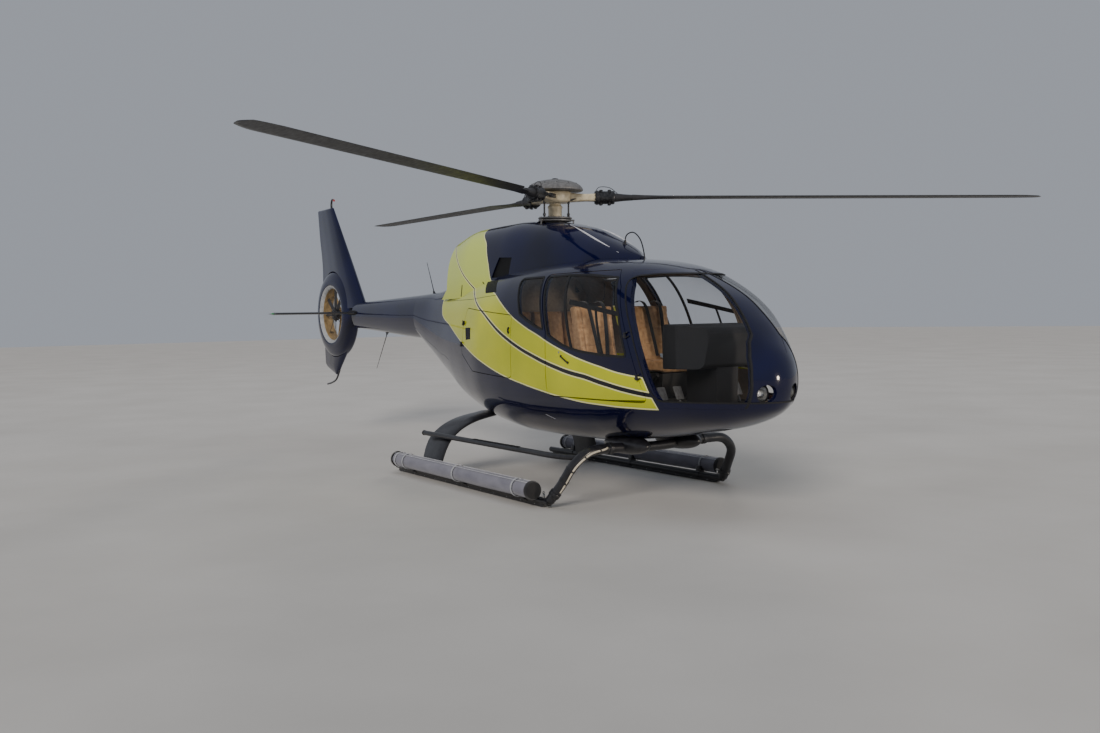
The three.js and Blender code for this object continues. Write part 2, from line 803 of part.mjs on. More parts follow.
// A fin lofted through sections with a round nose and a blunt tail.
function finSolid(table, growth = 0) {
  const sections = table.map(([z, leadEdge, trailEdge, width]) => {
    const [lead, trail] = [leadEdge + growth, trailEdge - growth];
    const thickness = width + 2 * growth;
    const chord = lead - trail;
    const shape = [[0, 0], [0.04, 0.55], [0.14, 0.9], [0.3, 1], [0.6, 0.72], [1, 0.14]];
    const upper = shape.map(([u, v]) => [lead - u * chord, (v * thickness) / 2]);
    const lower = shape.slice(1).reverse().map(([u, v]) => [lead - u * chord, (-v * thickness) / 2]);
    return [...upper, ...lower].map(([x, y]) => new THREE.Vector3(x, y, z));
  });
  return loft(sections);
}

const upperFin = finSolid(upperFinTable).subtract(shroudDisc);
const lowerFin = finSolid(lowerFinTable).subtract(shroudDisc);
const boomClear = loft(boomTable.map(([x, top, bottom, half]) => (
  roundRing(x, top + seam, bottom - seam, half + seam, 2.2, 24)
)));
add('tail_boom', loft(boomRings).subtract(shroudDisc), paint.navy);
add('upper_fin', biggest(upperFin.subtract(boomClear)), paint.navy);

function biggest(manifold) {
  const parts = manifold.decompose();
  return parts.sort((one, other) => other.volume() - one.volume())[0];
}

function tube(path, radius, sides = 10, steps = 16) {
  const curve = new THREE.CatmullRomCurve3(path.map(([x, y, z]) => new THREE.Vector3(x, y, z)));
  const section = new THREE.Shape();
  for (let k = 0; k < sides; k += 1) {
    const a = ((k + 0.5) / sides) * 2 * Math.PI;
    const [u, v] = [radius * Math.cos(a), radius * Math.sin(a)];
    if (k === 0) section.moveTo(u, v);
    else section.lineTo(u, v);
  }
  section.closePath();
  return solid(new THREE.ExtrudeGeometry(section, { steps, extrudePath: curve, bevelEnabled: false }));
}

const tailSkid = tube(tailSkidPath.map(([x, z]) => [x, 0, z]), 13, 8, 10);
add('lower_fin', join([biggest(lowerFin.subtract(boomClear)), tailSkid]), paint.navy);

// columns: share of half the chord, share of half the thickness
const stabiliserShape = [
  [1, 0], [0.85, 0.7], [0.3, 1], [-1, 0.18], [-1, -0.18], [0.3, -1], [0.85, -0.7],
];
for (const { name, sign } of sides) {
  const sections = [stabiliser.rootY, stabiliser.tipY].map((y) => stabiliserShape.map(([u, v]) => (
    new THREE.Vector3(
      stabiliser.x + (u * stabiliser.chord) / 2,
      sign * y,
      stabiliser.z + (v * stabiliser.thickness) / 2,
    )
  )));
  add(`stabiliser_${name}`, loft(sections).subtract(boomClear), paint.black);
}

// Aerials, and the light that hooks over the top of the fin

for (const { name, path: rodPath } of rods) {
  const rod = tube(rodPath.map(([x, z]) => [x, 0, z]), rodRadius, 8, 12);
  const base = name === 'roof_whip' ? cowlSolid(-seam) : boomClear;
  add(name, biggest(rod.subtract(base).subtract(hullClear)), paint.black);
}
const finTopZ = upperFinTable[upperFinTable.length - 1][0];
const lightStem = tube([
  [finLight.x - 60, 0, finTopZ + seam],
  [finLight.x - 60, 0, finTopZ + 60],
  [finLight.x - 30, 0, finTopZ + finLight.height],
  [finLight.x + finLight.hookX, 0, finTopZ + finLight.height - 10],
], finLight.radius, 10, 10);
add('fin_light', lightStem.subtract(upperFin), paint.black);

// Tail rotor in its duct: eight unevenly spaced blades, a hub, and the fixed drive pod with three struts

const tailBladeAngles = [0, 40, 93, 133, 180, 220, 273, 313];
const tailHub = new THREE.CylinderGeometry(92, 92, 70, 24);
const tailRotorY = -30;
const tailBlades = tailBladeAngles.map((degrees) => {
  const blade = new THREE.BoxGeometry(285, 9, 52);
  blade.rotateX(THREE.MathUtils.degToRad(28));
  blade.translate(80 + 285 / 2, 0, 0);
  blade.rotateY(THREE.MathUtils.degToRad(degrees));
  return solid(blade);
});
const tailRotor = join([solid(tailHub), ...tailBlades]).translate([ductX, tailRotorY, ductZ]);
add('tail_rotor', tailRotor, paint.charcoal);

const pod = solid(new THREE.CylinderGeometry(88, 70, 130, 24)).translate([0, tailRotorY + 35 + seam + 65, 0]);
const struts = [90, 210, 330].map((degrees) => {
  const strut = new THREE.BoxGeometry(ductRadius - 55, 46, 16);
  strut.translate(60 + (ductRadius - 55) / 2, 66, 0);
  strut.rotateY(THREE.MathUtils.degToRad(degrees + 20));
  return solid(strut);
});
const drive = join([pod, ...struts]).translate([ductX, 0, ductZ]).subtract(shroudSolid(seam)).intersect(
  disc(ductRadius + 30, 400, 48),
);
add('tail_drive', biggest(drive), paint.gold);

// Mast, head and blades

const mastBaseZ = mastFoot.z + seam;
const mastTopZ = 2838;
const hubBaseZ = mastTopZ + seam;
const hubTopZ = 2955;

const mast = turned([
  [0, mastBaseZ], [77, mastBaseZ], [77, 2800], [58, 2820], [58, mastTopZ], [0, mastTopZ],
], 24);
add('mast', onMast(mast), paint.cream);

const swashplate = turned([
  [84, mastBaseZ], [125, mastBaseZ], [125, 2545], [100, 2560], [100, 2650],
  [172, 2652], [172, 2668], [84, 2668], [84, mastBaseZ],
], 24);
add('swashplate', onMast(swashplate), paint.metal);

const turningRing = { outer: 175, inner: 77.3, low: 2675, high: 2693 };
const headArm = { start: 130, length: 470, width: 120, height: 84 };
const bladeCuff = { middle: 690, length: 200, innerRadius: 70, outerRadius: 62 };
const pitchLink = { radius: 12, reach: 150, length: 175, low: 2690, behind: 25 };
const hubParts = [
  turned([[0, hubBaseZ], [150, hubBaseZ], [170, 2860], [170, 2930], [150, hubTopZ], [0, hubTopZ]], 24),
  turned(ringProfile(turningRing.outer, turningRing.inner, turningRing.low, turningRing.high), 24),
];
for (const degrees of bladeAngles) {
  const arm = new THREE.BoxGeometry(headArm.length, headArm.width, headArm.height);
  arm.translate(headArm.start + headArm.length / 2, 0, bladeRootZ);
  arm.rotateZ(THREE.MathUtils.degToRad(degrees));
  const cuff = new THREE.CylinderGeometry(
    bladeCuff.outerRadius,
    bladeCuff.innerRadius,
    bladeCuff.length,
    12,
  );
  cuff.rotateZ(Math.PI / 2);
  cuff.translate(bladeCuff.middle, 0, bladeRootZ);
  cuff.rotateZ(THREE.MathUtils.degToRad(degrees));
  const link = new THREE.CylinderGeometry(pitchLink.radius, pitchLink.radius, pitchLink.length, 8);
  link.rotateX(Math.PI / 2);
  link.translate(pitchLink.reach, 0, pitchLink.low + pitchLink.length / 2);
  link.rotateZ(THREE.MathUtils.degToRad(degrees - pitchLink.behind));
  hubParts.push(solid(arm), solid(cuff), solid(link));
}
add('rotor_hub', onMast(biggest(join(hubParts))), paint.cream);
const capBaseZ = hubTopZ + seam;
add('rotor_cap', onMast(turned([
  [0, capBaseZ], [150, capBaseZ], [280, 2958], [286, 2975], [250, 3025], [170, 3060], [0, 3080],
], 28)), paint.metal);

const bladeRootR = bladeCuff.middle + bladeCuff.length / 2 + seam;
// columns: share of the span, chord, thickness, chord offset towards the trailing edge
const bladeTable = [
  [0, 90, 60, 0],
  [0.04, 120, 44, 0],
  [0.09, 250, 34, 30],
  [0.5, 260, 28, 32],
  [0.93, 260, 22, 34],
  [0.985, 200, 16, 50],
  [1, 120, 8, 80],
];
// columns: share of the chord ahead of its middle, share of the thickness
const bladeShape = [
  [0.5, 0], [0.44, 0.34], [0.25, 0.5], [-0.1, 0.36], [-0.5, 0.05],
  [-0.5, -0.05], [-0.1, -0.36], [0.25, -0.5], [0.44, -0.34],
];
bladeAngles.forEach((degrees, i) => {
  const rings = bladeTable.map(([share, chord, thickness, offset]) => {
    const r = bladeRootR + share * (rotorRadius - bladeRootR);
    const z = bladeRootZ + (bladeTipZ - bladeRootZ) * share;
    return bladeShape.map(([u, v]) => new THREE.Vector3(r, -u * chord + offset, z + v * thickness));
  });
  add(`main_blade_${i + 1}`, onMast(loft(rings).rotate([0, 0, degrees])), paint.charcoal);
});

// Skids, floats, cross tubes and steps

const mirrored = (path) => [...path, ...path.slice(0, -1).reverse().map(([x, y, z]) => [x, -y, z])];
const frontTube = tube(mirrored(frontTubePath), crossTubeRadius, 8, 30);
const frontTubeClear = tube(mirrored(frontTubePath), crossTubeRadius + seam, 8, 30);
const legShape = [
  [0, 0], [0.08, 0.7], [0.35, 1], [0.75, 0.6], [1, 0.12], [1, -0.12], [0.75, -0.6], [0.35, -1], [0.08, -0.7],
];
const legHalfThickness = 27;

// The aerofoil rear leg on one side, from its foot up into the belly.
function rearLeg(sign, growth) {
  const rows = rearLegTable;
  const rings = rows.map(([y, z, front, rear], i) => {
    const [before, after] = [rows[Math.max(i - 1, 0)], rows[Math.min(i + 1, rows.length - 1)]];
    const tangent = new THREE.Vector2(after[0] - before[0], after[1] - before[1]).normalize();
    const chord = front - rear + 2 * growth;
    const half = legHalfThickness + growth;
    return legShape.map(([u, v]) => new THREE.Vector3(
      front + growth - u * chord,
      sign * (y - v * half * tangent.y),
      z + v * half * tangent.x,
    ));
  });
  return loft(rings);
}

for (const { name, sign } of sides) {
  const y = sign * skidY;
  const runner = tube([
    [skidX[0], y, skidZ], [-600, y, skidZ], [600, y, skidZ], [skidX[1], y, skidZ],
  ], skidTubeRadius, 12, 14);
  const shoe = slab(skidX[0] + 60, skidX[1] - 60, y - 20, y + 20, 0, 30);
  const saddles = [-1300, -200, 900].map((x) => (
    slab(x - 30, x + 30, Math.min(y, sign * floatY), Math.max(y, sign * floatY), skidZ - 12, floatZ)
  ));
  const bag = solid(new THREE.CylinderGeometry(
    floatRadius,
    floatRadius,
    floatX[1] - floatX[0],
    20,
  ).rotateZ(Math.PI / 2).translate((floatX[0] + floatX[1]) / 2, sign * floatY, floatZ));
  const bagClear = solid(new THREE.CylinderGeometry(
    floatRadius + seam,
    floatRadius + seam,
    floatX[1] - floatX[0] + 1,
    20,
  ).rotateZ(Math.PI / 2).translate((floatX[0] + floatX[1]) / 2, sign * floatY, floatZ));
  const skid = join([runner, shoe, ...saddles]).subtract(bagClear);
  const legClear = rearLeg(sign, seam);
  add(`skid_${name}`, biggest(skid.subtract(frontTubeClear).subtract(legClear)), paint.black);
  add(`float_${name}`, bag, paint.fabric);
  const step = tube([
    [stepX[0], sign * 960, stepZ], [-300, sign * 960, stepZ], [700, sign * 958, stepZ],
    [1290, sign * 945, stepZ], [stepX[1], sign * 862, stepZ],
  ], 26, 8, 8);
  add(`step_${name}`, biggest(step.subtract(legClear).subtract(frontTubeClear)), paint.black);
  add(`rear_leg_${name}`, biggest(rearLeg(sign, 0).subtract(hullClear).subtract(bagClear)), paint.black);
}
const fairings = sides.map(({ sign }) => {
  const fairing = new THREE.SphereGeometry(1, 14, 10);
  fairing.scale(...fairingSize);
  fairing.translate(fairingPlace[0], sign * fairingPlace[1], fairingPlace[2]);
  return solid(fairing).subtract(hullClear);
});
const floatHose = tube(floatHosePath, floatHoseRadius, 8, 20);
add('front_cross_tube', join([frontTube, floatHose, ...fairings]), paint.black);

// Cabin

const seatY = 340;
const stickPath = [[1695, 880], [1695, 960], [1700, 1050], [1640, 1180], [1640, 1330]];
const cabinInner = hullSolid(wall + seam);
const floorPlate = cabinInner.intersect(slab(-340, 2300, -800, 800, 860, 900));
const sticks = sides.map(({ sign }) => tube(stickPath.map(([x, z]) => [x, sign * seatY, z]), 14, 8, 10));
add('cabin_floor', join([floorPlate, ...sticks]), paint.black);
add('rear_bulkhead', cabinInner.intersect(slab(-380, -345, -800, 800, 860, 2200)), paint.leather);

const seatProfile = rounded([
  [1020, 900.3, 0], [1400, 900.3, 0], [1430, 1130, 30], [1500, 1200, 50], [1480, 1250, 30],
  [1130, 1235, 60], [1010, 1800, 60], [900, 1790, 50], [985, 1120, 60],
]);
for (const { name, sign } of sides) {
  const centre = sign * seatY;
  add(`seat_${name}`, sidePrism(seatProfile, centre - 225, centre + 225), paint.leather);
}
const benchProfile = rounded([
  [-340, 900.3, 0], [150, 900.3, 0], [190, 1150, 30], [260, 1190, 40], [240, 1240, 30],
  [-150, 1225, 60], [-240, 1760, 50], [-340, 1760, 30],
]);
add('rear_bench', sidePrism(benchProfile, -600, 600).intersect(hullSolid(wall + 12)), paint.leather);

const pedestal = sidePrism([[1990, 900.3], [2420, 900.3], [2420, 1400], [2080, 1400]], -120, 120);
const panel = sidePrism([[2060, 1220], [2560, 1220], [2560, 1540], [2080, 1590]], -420, 420);
add('instrument_console', join([pedestal, panel]).intersect(hullSolid(wall + 20)), paint.charcoal);

const group = new THREE.Group();
meshes.forEach((mesh) => group.add(mesh));
group.position.set(-boxMiddleX, 0, 0);

export default group;
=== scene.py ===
# A light five-seat helicopter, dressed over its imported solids.
# Numbers are millimetres from the mast line: x ahead, y to port, z up from the ground.

import math

import bmesh
import bpy
import numpy as np
from mathutils import Matrix, Vector


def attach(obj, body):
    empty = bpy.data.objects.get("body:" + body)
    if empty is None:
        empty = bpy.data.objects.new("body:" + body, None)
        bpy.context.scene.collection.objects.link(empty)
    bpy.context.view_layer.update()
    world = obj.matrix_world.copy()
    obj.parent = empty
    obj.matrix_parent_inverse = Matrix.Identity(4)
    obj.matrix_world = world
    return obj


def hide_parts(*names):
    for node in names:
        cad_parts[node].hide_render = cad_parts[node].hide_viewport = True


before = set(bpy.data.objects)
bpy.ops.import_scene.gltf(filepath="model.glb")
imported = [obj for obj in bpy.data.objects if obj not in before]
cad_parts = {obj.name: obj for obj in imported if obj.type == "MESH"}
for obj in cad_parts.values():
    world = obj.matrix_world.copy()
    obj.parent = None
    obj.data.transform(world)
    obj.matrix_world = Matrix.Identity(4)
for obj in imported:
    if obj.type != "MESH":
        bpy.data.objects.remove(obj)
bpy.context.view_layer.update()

# Sizes

ROW_X = 1750
NOSE_X = 3050
HULL_END_X = -2950
WALL = 35
SEAM = 0.3
DOOR_GAP = 6
HATCH_GAP = 7
FLOOR_Z = 915
ROOF_Z = 2060
RAIL_Z = 2102
SIDE_BACK = -1300
FAR = 1200

# Hull sections: x, top z, bottom z, half width, widest z, exponent above it, exponent below it
HULL = np.array([
    [3050, 1130, 1130, 0, 1130, 2.1, 2.1],
    [3000, 1330, 925, 175, 1130, 2.1, 2.1],
    [2900, 1465, 850, 310, 1135, 2.15, 2.15],
    [2740, 1650, 785, 435, 1145, 2.25, 2.2],
    [2550, 1815, 730, 550, 1160, 2.4, 2.3],
    [2250, 1975, 670, 650, 1185, 2.6, 2.4],
    [2000, 2070, 625, 700, 1200, 2.8, 2.5],
    [1700, 2140, 580, 735, 1210, 3.0, 2.6],
    [1400, 2180, 545, 748, 1215, 3.1, 2.7],
    [1000, 2210, 510, 750, 1220, 3.2, 2.7],
    [500, 2215, 500, 750, 1225, 3.2, 2.7],
    [0, 2210, 500, 740, 1230, 3.0, 2.6],
    [-500, 2195, 540, 700, 1250, 2.8, 2.5],
    [-1000, 2165, 620, 600, 1300, 2.6, 2.4],
    [-1500, 2125, 740, 480, 1370, 2.5, 2.3],
    [-2000, 2075, 950, 360, 1470, 2.4, 2.2],
    [-2500, 2010, 1200, 265, 1590, 2.3, 2.2],
    [-2950, 1990, 1430, 208, 1710, 2.2, 2.2],
])
# Cowl sections: x, top z, half width at the base, exponent
COWL = np.array([
    [1320, 2215, 60, 2.2],
    [1150, 2300, 240, 2.3],
    [900, 2410, 330, 2.4],
    [500, 2550, 390, 2.6],
    [0, 2640, 420, 2.8],
    [-500, 2680, 440, 2.9],
    [-1200, 2672, 430, 2.9],
    [-1700, 2600, 372, 2.7],
    [-2100, 2470, 310, 2.6],
])
COWL_MIDDLE_Z = 2000
COWL_BASE_Z = 1900
COWL_SPLIT_X = -1060
COWL_REAR_CUT = [(-1690, 2750), (-1705, 2520), (-1775, 2010), (-1965, 1890), (-2300, 1890), (-2300, 2750)]
# Boom sections: x, top z, bottom z, half width
BOOM = np.array([
    [-2950.3, 1990, 1430, 208],
    [-3500, 1975, 1462, 186],
    [-4400, 1952, 1528, 150],
    [-5080, 1936, 1570, 125],
])
DUCT = (-5890, 1780)
DUCT_RADIUS = 375
SHROUD_RADIUS = 640
MAST_FOOT = (-85, 2520)
MAST_LEAN = math.radians(1.6)
BLADE_ANGLES = [56, 175.5, 304]
BLADE_Z = (2893, 2897)
ROTOR_RADIUS = 5000

# Paint lines seen from the side: x, z from the rear forward
UPPER_LINE = [
    (-1090, 2760), (-1031, 2628), (-809, 2440), (-717, 2251), (-660, 2084), (-245, 1908), (-12, 1794),
    (213, 1683), (460, 1585), (734, 1490), (1040, 1386), (1326, 1307), (1590, 1252), (1846, 1199),
    (2090, 1167), (2300, 1140),
]
STRIPE_LINE = [
    (-1760, 2590), (-1495, 2347), (-1250, 2143), (-820, 1892), (-356, 1690), (-10, 1524), (354, 1383),
    (679, 1286), (1035, 1202), (1367, 1151), (1645, 1100), (1888, 1056), (2181, 1016), (2300, 1002),
]
LOWER_LINE = [
    (-2400, 2700), (-2050, 2120), (-1995, 1896), (-1924, 1758), (-1531, 1595), (-1134, 1443),
    (-690, 1301), (-286, 1184), (100, 1089), (441, 1027), (800, 970), (1182, 926), (1531, 904),
    (1866, 893), (2214, 893), (2300, 895),
]
BAND_FRONT = [(899, 2217), (945, 2210), (990, 2197), (1035, 2178), (1111, 2151), (1168, 2122)]
BAND_CENTRE = (1600, 3300)

SIDES = [("right", -1), ("left", 1)]
AHEAD = (1, 0, 0)
PORT = (0, 1, 0)
UP = (0, 0, 1)
SKIN_MATCH = 0.8


# Curves and outlines

def curve_through(ts, values):
    """A smooth curve through the values that never overshoots them."""
    ts = np.asarray(ts, float)
    values = np.asarray(values, float)
    slopes = np.diff(values) / np.diff(ts)
    tangents = [slopes[0]]
    for before, after in zip(slopes[:-1], slopes[1:]):
        product = before * after
        tangents.append(2 * product / (before + after) if product > 0 else 0.0)
    tangents.append(slopes[-1])
    tangents = np.array(tangents)

    def value_at(t):
        t = np.asarray(t, float)
        i = np.clip(np.searchsorted(ts, t) - 1, 0, len(ts) - 2)
        h = ts[i + 1] - ts[i]
        u = (t - ts[i]) / h
        start = values[i] * (2 * u**3 - 3 * u**2 + 1) + tangents[i] * h * (u**3 - 2 * u**2 + u)
        end = values[i + 1] * (3 * u**2 - 2 * u**3) + tangents[i + 1] * h * (u**3 - u**2)
        return start + end

    return value_at


def power(value, exponent):
    """A power that keeps the value's sign."""
    return np.sign(value) * np.abs(value) ** exponent


def evenly(points, values, count, endpoint=True):
    """Rows of values at places spread evenly along a line of points."""
    length = np.concatenate([[0], np.cumsum(np.linalg.norm(np.diff(points, axis=0), axis=1))])
    places = np.linspace(0, length[-1], count, endpoint=endpoint)
    return np.stack([np.interp(places, length, column) for column in np.transpose(values)], axis=1)


def grow(outline, distance):
    """The outline with its edges moved outwards."""
    points = np.array(outline, float)
    after = np.roll(points, -1, axis=0)
    before = np.roll(points, 1, axis=0)
    turn = np.sign(np.sum(points[:, 0] * after[:, 1] - points[:, 1] * after[:, 0]))
    one = points - before
    two = after - points
    one /= np.linalg.norm(one, axis=1)[:, None]
    two /= np.linalg.norm(two, axis=1)[:, None]
    normals = np.stack([one[:, 1] + two[:, 1], -one[:, 0] - two[:, 0]], axis=1)
    miter = normals / (1 + np.sum(one * two, axis=1))[:, None]
    return points + turn * distance * miter


def rounded(corners, steps=9):
    """The outline with each corner (a, b, radius) rounded."""
    points = []
    count = len(corners)
    for i, (a, b, radius) in enumerate(corners):
        corner = np.array([a, b], float)
        if radius == 0:
            points.append(corner)
            continue
        before = np.array(corners[i - 1][:2], float) - corner
        after = np.array(corners[(i + 1) % count][:2], float) - corner
        reach_before = np.linalg.norm(before)
        reach_after = np.linalg.norm(after)
        before /= reach_before
        after /= reach_after
        half_angle = math.acos(max(-1, min(1, float(before @ after)))) / 2
        reach = min(radius / math.tan(half_angle), 0.48 * min(reach_before, reach_after))
        start = corner + before * reach
        end = corner + after * reach
        for t in np.linspace(0, 1, steps + 1):
            points.append(start * (1 - t) ** 2 + corner * 2 * t * (1 - t) + end * t**2)
    return np.array(points)


# Hull and cowl surfaces

HULL_CURVES = [curve_through(np.sqrt(NOSE_X - HULL[:, 0]), HULL[:, k]) for k in range(1, 7)]
COWL_CURVES = [curve_through(-COWL[:, 0], COWL[:, k]) for k in range(1, 4)]
PER_QUARTER = 30
COWL_RINGS = 110


def hull_points(s, a):
    """Hull points at depth s (the root of the distance behind the nose) and angle a."""
    top, bottom, half, widest, above, below = [curve(s) for curve in HULL_CURVES]
    exponent = np.where(np.sin(a) > 0, above, below)
    reach = np.where(np.sin(a) > 0, top - widest, widest - bottom)
    return np.stack([
        NOSE_X - s * s + 0 * a,
        half * power(np.cos(a), 2 / exponent),
        widest + reach * power(np.sin(a), 2 / exponent),
    ], axis=-1)


def even_angles(s):
    """Angles round one section that space its points evenly in each quarter."""
    fine = np.linspace(0, math.pi / 2, 300)
    angles = []
    for quarter in range(4):
        a = fine + quarter * math.pi / 2
        angles.append(evenly(hull_points(s + 0 * a, a), a[:, None], PER_QUARTER, endpoint=False)[:, 0])
    return np.concatenate(angles)


HULL_RINGS = 170
S_LAST = math.sqrt(NOSE_X - HULL_END_X)
HULL_S = np.maximum(np.arange(HULL_RINGS + 1) / HULL_RINGS, 0.006) * S_LAST
HULL_A = np.stack([even_angles(s) for s in HULL_S])


def hull_grid(inset):
    """Rings of points at a distance below the hull surface."""
    s = HULL_S[:, None] + 0 * HULL_A
    points = hull_points(s, HULL_A)
    step = 0.02
    along = hull_points(s + step, HULL_A) - hull_points(s - step, HULL_A)
    around = hull_points(s, HULL_A + step) - hull_points(s, HULL_A - step)
    outward = np.cross(along, around)
    outward /= np.linalg.norm(outward, axis=-1)[..., None]
    points = points - outward * inset
    points[-1, :, 0] = HULL_END_X
    return points


def hull_field(p):
    """Negative inside the hull and positive outside."""
    s = np.sqrt(np.maximum(NOSE_X - p[:, 0], 1e-3))
    top, bottom, half, widest, above, below = [curve(s) for curve in HULL_CURVES]
    up = p[:, 2] > widest
    exponent = np.where(up, above, below)
    reach = np.where(up, top - widest, widest - bottom)
    side = np.abs(p[:, 1] / np.maximum(half, 1)) ** exponent
    return side + np.abs((p[:, 2] - widest) / np.maximum(reach, 1)) ** exponent - 1


def hull_side_y(x, z):
    """Half width of the hull at a place on its side."""
    top, bottom, half, widest, above, below = [curve(math.sqrt(NOSE_X - x)) for curve in HULL_CURVES]
    exponent = above if z > widest else below
    reach = top - widest if z > widest else widest - bottom
    return float(half * (1 - abs((z - widest) / reach) ** exponent) ** (1 / exponent))


def cowl_field(p):
    """Negative inside the cowl and positive outside."""
    top, half, exponent = [curve(np.minimum(-p[:, 0], -COWL[-1, 0])) for curve in COWL_CURVES]
    side = np.abs(p[:, 1] / half)
    rise = np.maximum(p[:, 2] - COWL_MIDDLE_Z, 0) / (top - COWL_MIDDLE_Z)
    return side**exponent + rise**exponent - 1


def cowl_grid(inset):
    """Rings round the cowl, the base corners last."""
    first = COWL[0, 0] - inset
    last = COWL[-1, 0] - (40 if inset > 0 else 0)
    a = np.linspace(0, math.pi, 2000)
    rings = []
    for x in np.linspace(first, last, COWL_RINGS + 1):
        top, half, exponent = [float(curve(min(-x, -COWL[-1, 0]))) for curve in COWL_CURVES]
        half = max(half - inset, 15)
        rise = max(top - COWL_MIDDLE_Z - inset, 20)
        dense = np.stack([
            half * power(np.cos(a), 2 / exponent),
            COWL_MIDDLE_Z + rise * power(np.sin(a), 2 / exponent),
        ], axis=1)
        arch = evenly(dense, dense, 91)
        side_z = np.linspace(COWL_BASE_Z - inset, COWL_MIDDLE_Z, 5)[:-1]
        left = np.stack([np.full(4, half), side_z], axis=1)
        right = np.stack([np.full(4, -half), side_z[::-1]], axis=1)
        ring = np.concatenate([left, arch, right])
        rings.append(np.column_stack([np.full(len(ring), x), ring]))
    return np.array(rings)


# Meshes

def to_row(points):
    """Mast millimetres to the row's metres."""
    shifted = np.array(points, float).reshape(-1, 3)
    shifted[:, 0] += ROW_X
    return shifted / 1000


def from_row(points):
    """The row's metres to mast millimetres."""
    shifted = np.array(points, float).reshape(-1, 3) * 1000
    shifted[:, 0] -= ROW_X
    return shifted


def read(items, key, kind=float, width=1):
    """A value of every point, corner or face, as an array."""
    values = np.zeros(len(items) * width, kind)
    items.foreach_get(key, values)
    return values.reshape(-1, width) if width > 1 else values


def points_of(mesh):
    """The mesh's points in mast millimetres."""
    return from_row(read(mesh.vertices, "co", width=3))


def set_points(mesh, points):
    """Give the mesh new points, in mast millimetres."""
    mesh.vertices.foreach_set("co", to_row(points).ravel())
    mesh.update()


def stand(name, data):
    """An object that shows the data in the scene."""
    thing = bpy.data.objects.new(name, data)
    bpy.context.scene.collection.objects.link(thing)
    return thing


def evaluated(thing):
    """The object's mesh with its modifiers applied."""
    graph = bpy.context.evaluated_depsgraph_get()
    return bpy.data.meshes.new_from_object(thing.evaluated_get(graph))


def opened(*meshes):
    """The meshes together, open for editing."""
    work = bmesh.new()
    for mesh in meshes:
        work.from_mesh(mesh)
    return work


def closed(work):
    """What was open for editing, as a new mesh."""
    mesh = bpy.data.meshes.new("shape")
    work.to_mesh(mesh)
    work.free()
    return mesh


def make_mesh(points, faces):
    """A closed mesh from mast millimetres, its faces pointing outwards."""
    mesh = bpy.data.meshes.new("shape")
    mesh.from_pydata(to_row(points).tolist(), [], faces)
    mesh.validate()
    work = opened(mesh)
    bmesh.ops.recalc_face_normals(work, faces=work.faces)
    work.to_mesh(mesh)
    work.free()
    mesh.update()
    return mesh


def loft(rings):
    """A closed surface through rings with equal counts of points."""
    rings = np.asarray(rings, float)
    ring_count, count = rings.shape[:2]
    points = np.concatenate([rings.reshape(-1, 3), rings[:1].mean(axis=1), rings[-1:].mean(axis=1)])
    first_cap = ring_count * count
    last_row = first_cap - count
    faces = []
    for row in range(0, last_row, count):
        for k in range(count):
            after = (k + 1) % count
            faces.append((row + k, row + after, row + after + count, row + k + count))
    for k in range(count):
        after = (k + 1) % count
        faces.append((first_cap, after, k))
        faces.append((first_cap + 1, last_row + k, last_row + after))
    return make_mesh(points, faces)


def shell_mesh(outer, inner):
    """The layer between an outer and an inner grid of rings."""
    return loft(np.concatenate([outer, inner[::-1]]))


def prism(outline, axis, low, high):
    """An outline pushed along axis 0 (y, z), axis 1 (x, z) or axis 2 (x, y)."""
    outline = np.asarray(outline, float)[:, :2]
    count = len(outline)
    rest = [k for k in range(3) if k != axis]
    points = np.zeros((2 * count, 3))
    for end, value in enumerate((low, high)):
        rows = slice(end * count, (end + 1) * count)
        points[rows, rest[0]] = outline[:, 0]
        points[rows, rest[1]] = outline[:, 1]
        points[rows, axis] = value
    faces = [tuple(range(count)), tuple(range(2 * count - 1, count - 1, -1))]
    for k in range(count):
        after = (k + 1) % count
        faces.append((k, after, count + after, count + k))
    return make_mesh(points, faces)


def side_span(outline, sign):
    """A cutter through one side of the hull."""
    return prism(outline, 1, -FAR, -1) if sign < 0 else prism(outline, 1, 1, FAR)


def slab(x0, x1, y0, y1, z0, z1):
    """A block between two places on each axis."""
    return prism([(x0, y0), (x1, y0), (x1, y1), (x0, y1)], 2, z0, z1)


def carve(mesh, *steps):
    """Cut a closed mesh: each step is an operation and a cutter mesh."""
    made = []
    for solver in ("MANIFOLD", "EXACT"):
        body = stand("carved", mesh)
        made.append(body)
        for operation, cutter in steps:
            knife = stand("knife", cutter)
            made.append(knife)
            cut = body.modifiers.new("cut", "BOOLEAN")
            cut.operation = operation
            cut.object = knife
            cut.solver = solver
        result = evaluated(body)
        if len(result.polygons) > 3:
            break
    for old in made:
        bpy.data.objects.remove(old)
    return result


def cut_side(shell, sign, keep, drop=(), cutters=()):
    """What a shell has on one side inside the outlines to keep and outside those to drop."""
    steps = [("INTERSECT", side_span(outline, sign)) for outline in keep]
    steps += [("DIFFERENCE", cutter) for cutter in cutters]
    steps += [("DIFFERENCE", side_span(outline, sign)) for outline in drop]
    return carve(shell, *steps)


def gradient(field, points, step=0.7):
    """The direction in which a field grows fastest, at each point."""
    parts = []
    for axis in range(3):
        shift = np.zeros(3)
        shift[axis] = step
        parts.append(field(points + shift) - field(points - shift))
    slope = np.stack(parts, axis=1)
    return slope / np.maximum(np.linalg.norm(slope, axis=1), 1e-12)[:, None]


